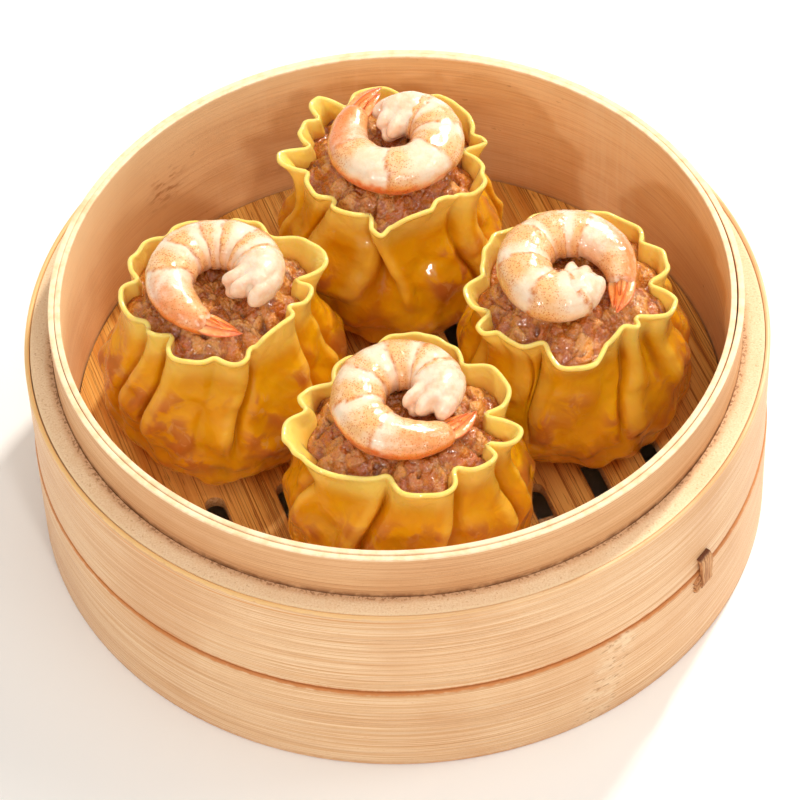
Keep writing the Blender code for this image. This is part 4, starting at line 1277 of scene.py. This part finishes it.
def build_shrimp(corner, plan, curl, flesh, tail_shell):
    """A peeled shrimp: segments that lap from its tail to its torn head end, and a tail fan."""
    body = upright_wall("shrimp_flesh_" + corner, 76, 270)
    seed = Vector((plan["seed"] * 13.0, 0.0, 0.0))
    start, end, head = TAIL_ROOT - 5.0, curl["curl"], curl["joints"][-1]

    def shape(angle, share):
        along = start + (end - start) * share
        wide = along_table(GIRTH_WIDE, along) + curl["head_swell"] * ease((along - head) / 22.0)
        tall = along_table(GIRTH_TALL, along) + 0.4 * ease((along - head) / 30.0)
        middle = curl_point(curl, along)
        arc = math.radians(math.hypot(middle.x - curl["offset"][0], middle.y - curl["offset"][1]))
        round_angle = math.radians(angle)
        outward, upward = math.cos(round_angle), math.sin(round_angle)
        torn = ease((along - head - 2.0) / 12.0)
        sample = Vector((outward * wide, upward * tall, along * arc)) + seed
        head_cap = math.sqrt(max(0.0, 1 - max(0.0, 1 - (end - along) * arc / HEAD_CAP) ** 2.2))
        tail_cap = math.sqrt(max(0.0, 1 - max(0.0, 1 - (along - start) / 4.0) ** 2))
        scalloped = 4.4 * abs(math.sin(round_angle - 1.45)) - 2.2
        scalloped += 3.6 * noise.noise(sample / 2.4) + 1.6 * noise.noise(sample / 0.9)
        back, onward = joint_gaps(curl["joints"], along - scalloped)
        length = back + onward
        back_mm, onward_mm = back * arc, onward * arc
        banded = 0.78 + 0.4 * noise.noise(Vector((length / 7.0, plan["seed"] * 3.0, 0.5)))
        fold = 0.22 * math.exp(-back_mm / 2.6) - 0.11 * math.exp(-back_mm / 0.14) - 0.05 * math.exp(-onward_mm / 0.6)
        fold *= (1.0 + 0.4 * max(0.0, -outward)) * (1 - torn)
        ragged = 0.3 * noise.noise(sample / 2.6) - 0.2
        ripple = 0.14 * noise.noise(sample / 1.6) + 0.25 * noise.noise(sample / 4.5)
        size = (1 - 0.2 * torn) * (1 + (fold + torn * ragged + ripple) / 4.6) * head_cap * tail_cap
        flat = max(upward, -0.82)
        place = curl_place(plan, curl, along, outward * wide * size, tall * (0.9 + flat * size))
        given = {
            "band": ease((banded - back / length) / 0.35) * (1 - ease((along - head) / 6.0)),
            "seam": math.exp(-(min(back_mm, onward_mm) / 0.22) ** 2),
            "outer": ease((outward * 0.8 - upward * 0.75 + 0.06) / 1.0) * (1 - 0.4 * ease((along - 150) / 130)),
            # The inward side carries a painted warm reflection.
            "inner": ease((-outward - 0.45) / 0.5) * (1 - 0.7 * torn),
            "tail": (0.4 + 0.6 * ease((outward + 0.3) / 0.9)) * ease((130.0 - along) / 62.0) * curl["blush"],
            "cut": torn,
        }
        return world_place(plan, place), given

    mould(body, shape, ("band", "seam", "outer", "inner", "tail", "cut"))
    fresh()
    bpy.context.view_layer.objects.active = body
    body.select_set(True)
    bpy.ops.object.mode_set(mode="EDIT")
    close_up(body, 0.00004)
    smooth(body, 60.0)
    finish_piece(body, flesh, "shrimp", "shrimp_" + corner)
    build_head(corner, plan, curl, flesh)
    for number, blade in enumerate(TAIL_BLADES):
        build_tail_blade(corner, plan, curl, tail_shell, number, blade)


def build_head(corner, plan, curl, flesh):
    """The torn head end: blunt lobes of flesh that fan out side by side and run together."""
    fresh()
    bpy.ops.object.metaball_add(type="ELLIPSOID")
    flesh_balls = bpy.context.object
    flesh_balls.name = "head_" + corner
    flesh_balls.data.resolution = 0.25
    flesh_balls.data.render_resolution = 0.25
    flesh_balls.data.elements.clear()
    alone = 1 / math.sqrt(1 - (flesh_balls.data.threshold / LOBE_GRIP) ** (1 / 3))
    swell = 1 + curl["head_swell"] * 0.1
    for number, (aside, up, reach, length, width, height, fan) in enumerate(HEAD_LOBES):
        seed = Vector((number * 5.0, plan["seed"] * 7.0, 0.0))
        uneven = 1 + 0.25 * noise.noise(seed * 1.37)
        drawn_back = 0.9 * length + (curl["reach"] if number else 0.0)
        along = curl["curl"] + (reach + 1.4 * noise.noise(seed * 2.1) - drawn_back) / 0.15
        point = curl_point(curl, along)
        ahead = (point - curl_point(curl, along - 1.0)).normalized()
        outward = Vector((ahead.y, -ahead.x, 0.0)) * curl["turn"]
        pointing = Matrix.Rotation(math.radians(-fan * curl["turn"] * uneven), 3, "Z") @ ahead
        upright = Vector((0.0, 0.0, 1.0))
        lobe = flesh_balls.data.elements.new(type="ELLIPSOID")
        lobe.co = world_place(plan, point + outward * aside * swell + upright * (SHRIMP_SEAT + up * swell)) / MM
        lobe.rotation = Matrix((pointing, upright.cross(pointing), upright)).transposed().to_quaternion()
        lobe.size_x, lobe.size_y, lobe.size_z = length, width * swell * uneven, height
        lobe.radius = alone
        lobe.stiffness = LOBE_GRIP
    bpy.ops.object.convert(target="MESH")
    piece = new_piece("shrimp_head_" + corner)
    close_up(piece)
    bpy.ops.object.transform_apply(location=True, rotation=True, scale=True)
    piece.data.transform(Matrix.Scale(MM, 4))
    soften = piece.modifiers.new("soften", "SMOOTH")
    soften.factor = 0.5
    soften.iterations = 2
    apply_all(piece)
    for vert in piece.data.vertices:
        spot = vert.co / MM
        vert.co += vert.normal * (0.16 * noise.noise(spot / 2.2) + 0.05 * noise.noise(spot / 0.9)) * MM
    paint(piece, "cut", [1.0] * len(piece.data.vertices))
    smooth(piece, 60.0)
    finish_piece(piece, flesh, "shrimp")


def build_tail_blade(corner, plan, curl, tail_shell, number, blade):
    """One blade of the tail fan, moulded from a tube: flat, ribbed and pointed."""
    root_aside, tip_aside, tip, width, lift = blade
    root = TAIL_ROOT + 3.0
    piece = upright_wall("shrimp_tail_%s_%d" % (corner, number), 36, 40)

    def shape(angle, share):
        along = root + (tip - root) * share
        leaf = math.sin(math.pi * (0.22 + 0.78 * min(share, 0.999))) ** 0.8
        closed = math.sqrt(max(0.0, 1 - max(0.0, 1 - share / 0.06) ** 2))
        across, upward = math.cos(math.radians(angle)), math.sin(math.radians(angle))
        aside = width * leaf * closed * across + root_aside + (tip_aside - root_aside) * share
        rib = math.exp(-(across / 0.2) ** 2)
        thick = (0.5 + 0.4 * rib * max(upward, 0.0)) * leaf * closed
        height = 1.9 - 0.9 * share + thick * upward + lift
        place = curl_place(plan, curl, along, aside, height)
        return world_place(plan, place), {"along": share, "rib": rib, "edge": ease((abs(across) - 0.7) / 0.3)}

    mould(piece, shape, ("along", "rib", "edge"))
    fresh()
    bpy.context.view_layer.objects.active = piece
    piece.select_set(True)
    bpy.ops.object.mode_set(mode="EDIT")
    close_up(piece, 0.00004)
    smooth(piece, 60.0)
    finish_piece(piece, tail_shell, "shrimp")


def build_basket():
    """Every bamboo piece."""
    board = board_bamboo("board_bamboo")
    build_rim(rim_bamboo("rim_bamboo"))
    build_bands(skin_bamboo("skin_bamboo"), sawn_bamboo("sawn_bamboo"), warm_bamboo("warm_bamboo"))
    build_floor(board)
    build_stitch(cane_fibre("cane_fibre"))
    for bar in ("floor_bar_front", "floor_bar_back"):
        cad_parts[bar].data.materials.clear()
        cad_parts[bar].data.materials.append(board)


def build_food():
    """Every dough cup, filling and shrimp."""
    dough = wet_dough("wet_dough")
    pork = minced_pork("minced_pork")
    flesh = cooked_shrimp("cooked_shrimp")
    tail_shell = shrimp_tail("shrimp_tail_shell")
    for corner, plan in SHUMAI.items():
        skin = build_wrapper(corner, plan, dough)
        build_filling(corner, plan, skin, pork)
        build_shrimp(corner, plan, SHRIMPS[corner], flesh, tail_shell)


def build_table():
    """The pale table under the steamer."""
    fresh()
    bpy.ops.mesh.primitive_plane_add(size=8.0)
    table = bpy.context.object
    table.name = "pale_table"
    table.data.materials.append(pale_floor("pale_floor"))


set_camera()
light_studio()
build_table()
build_basket()
build_food()
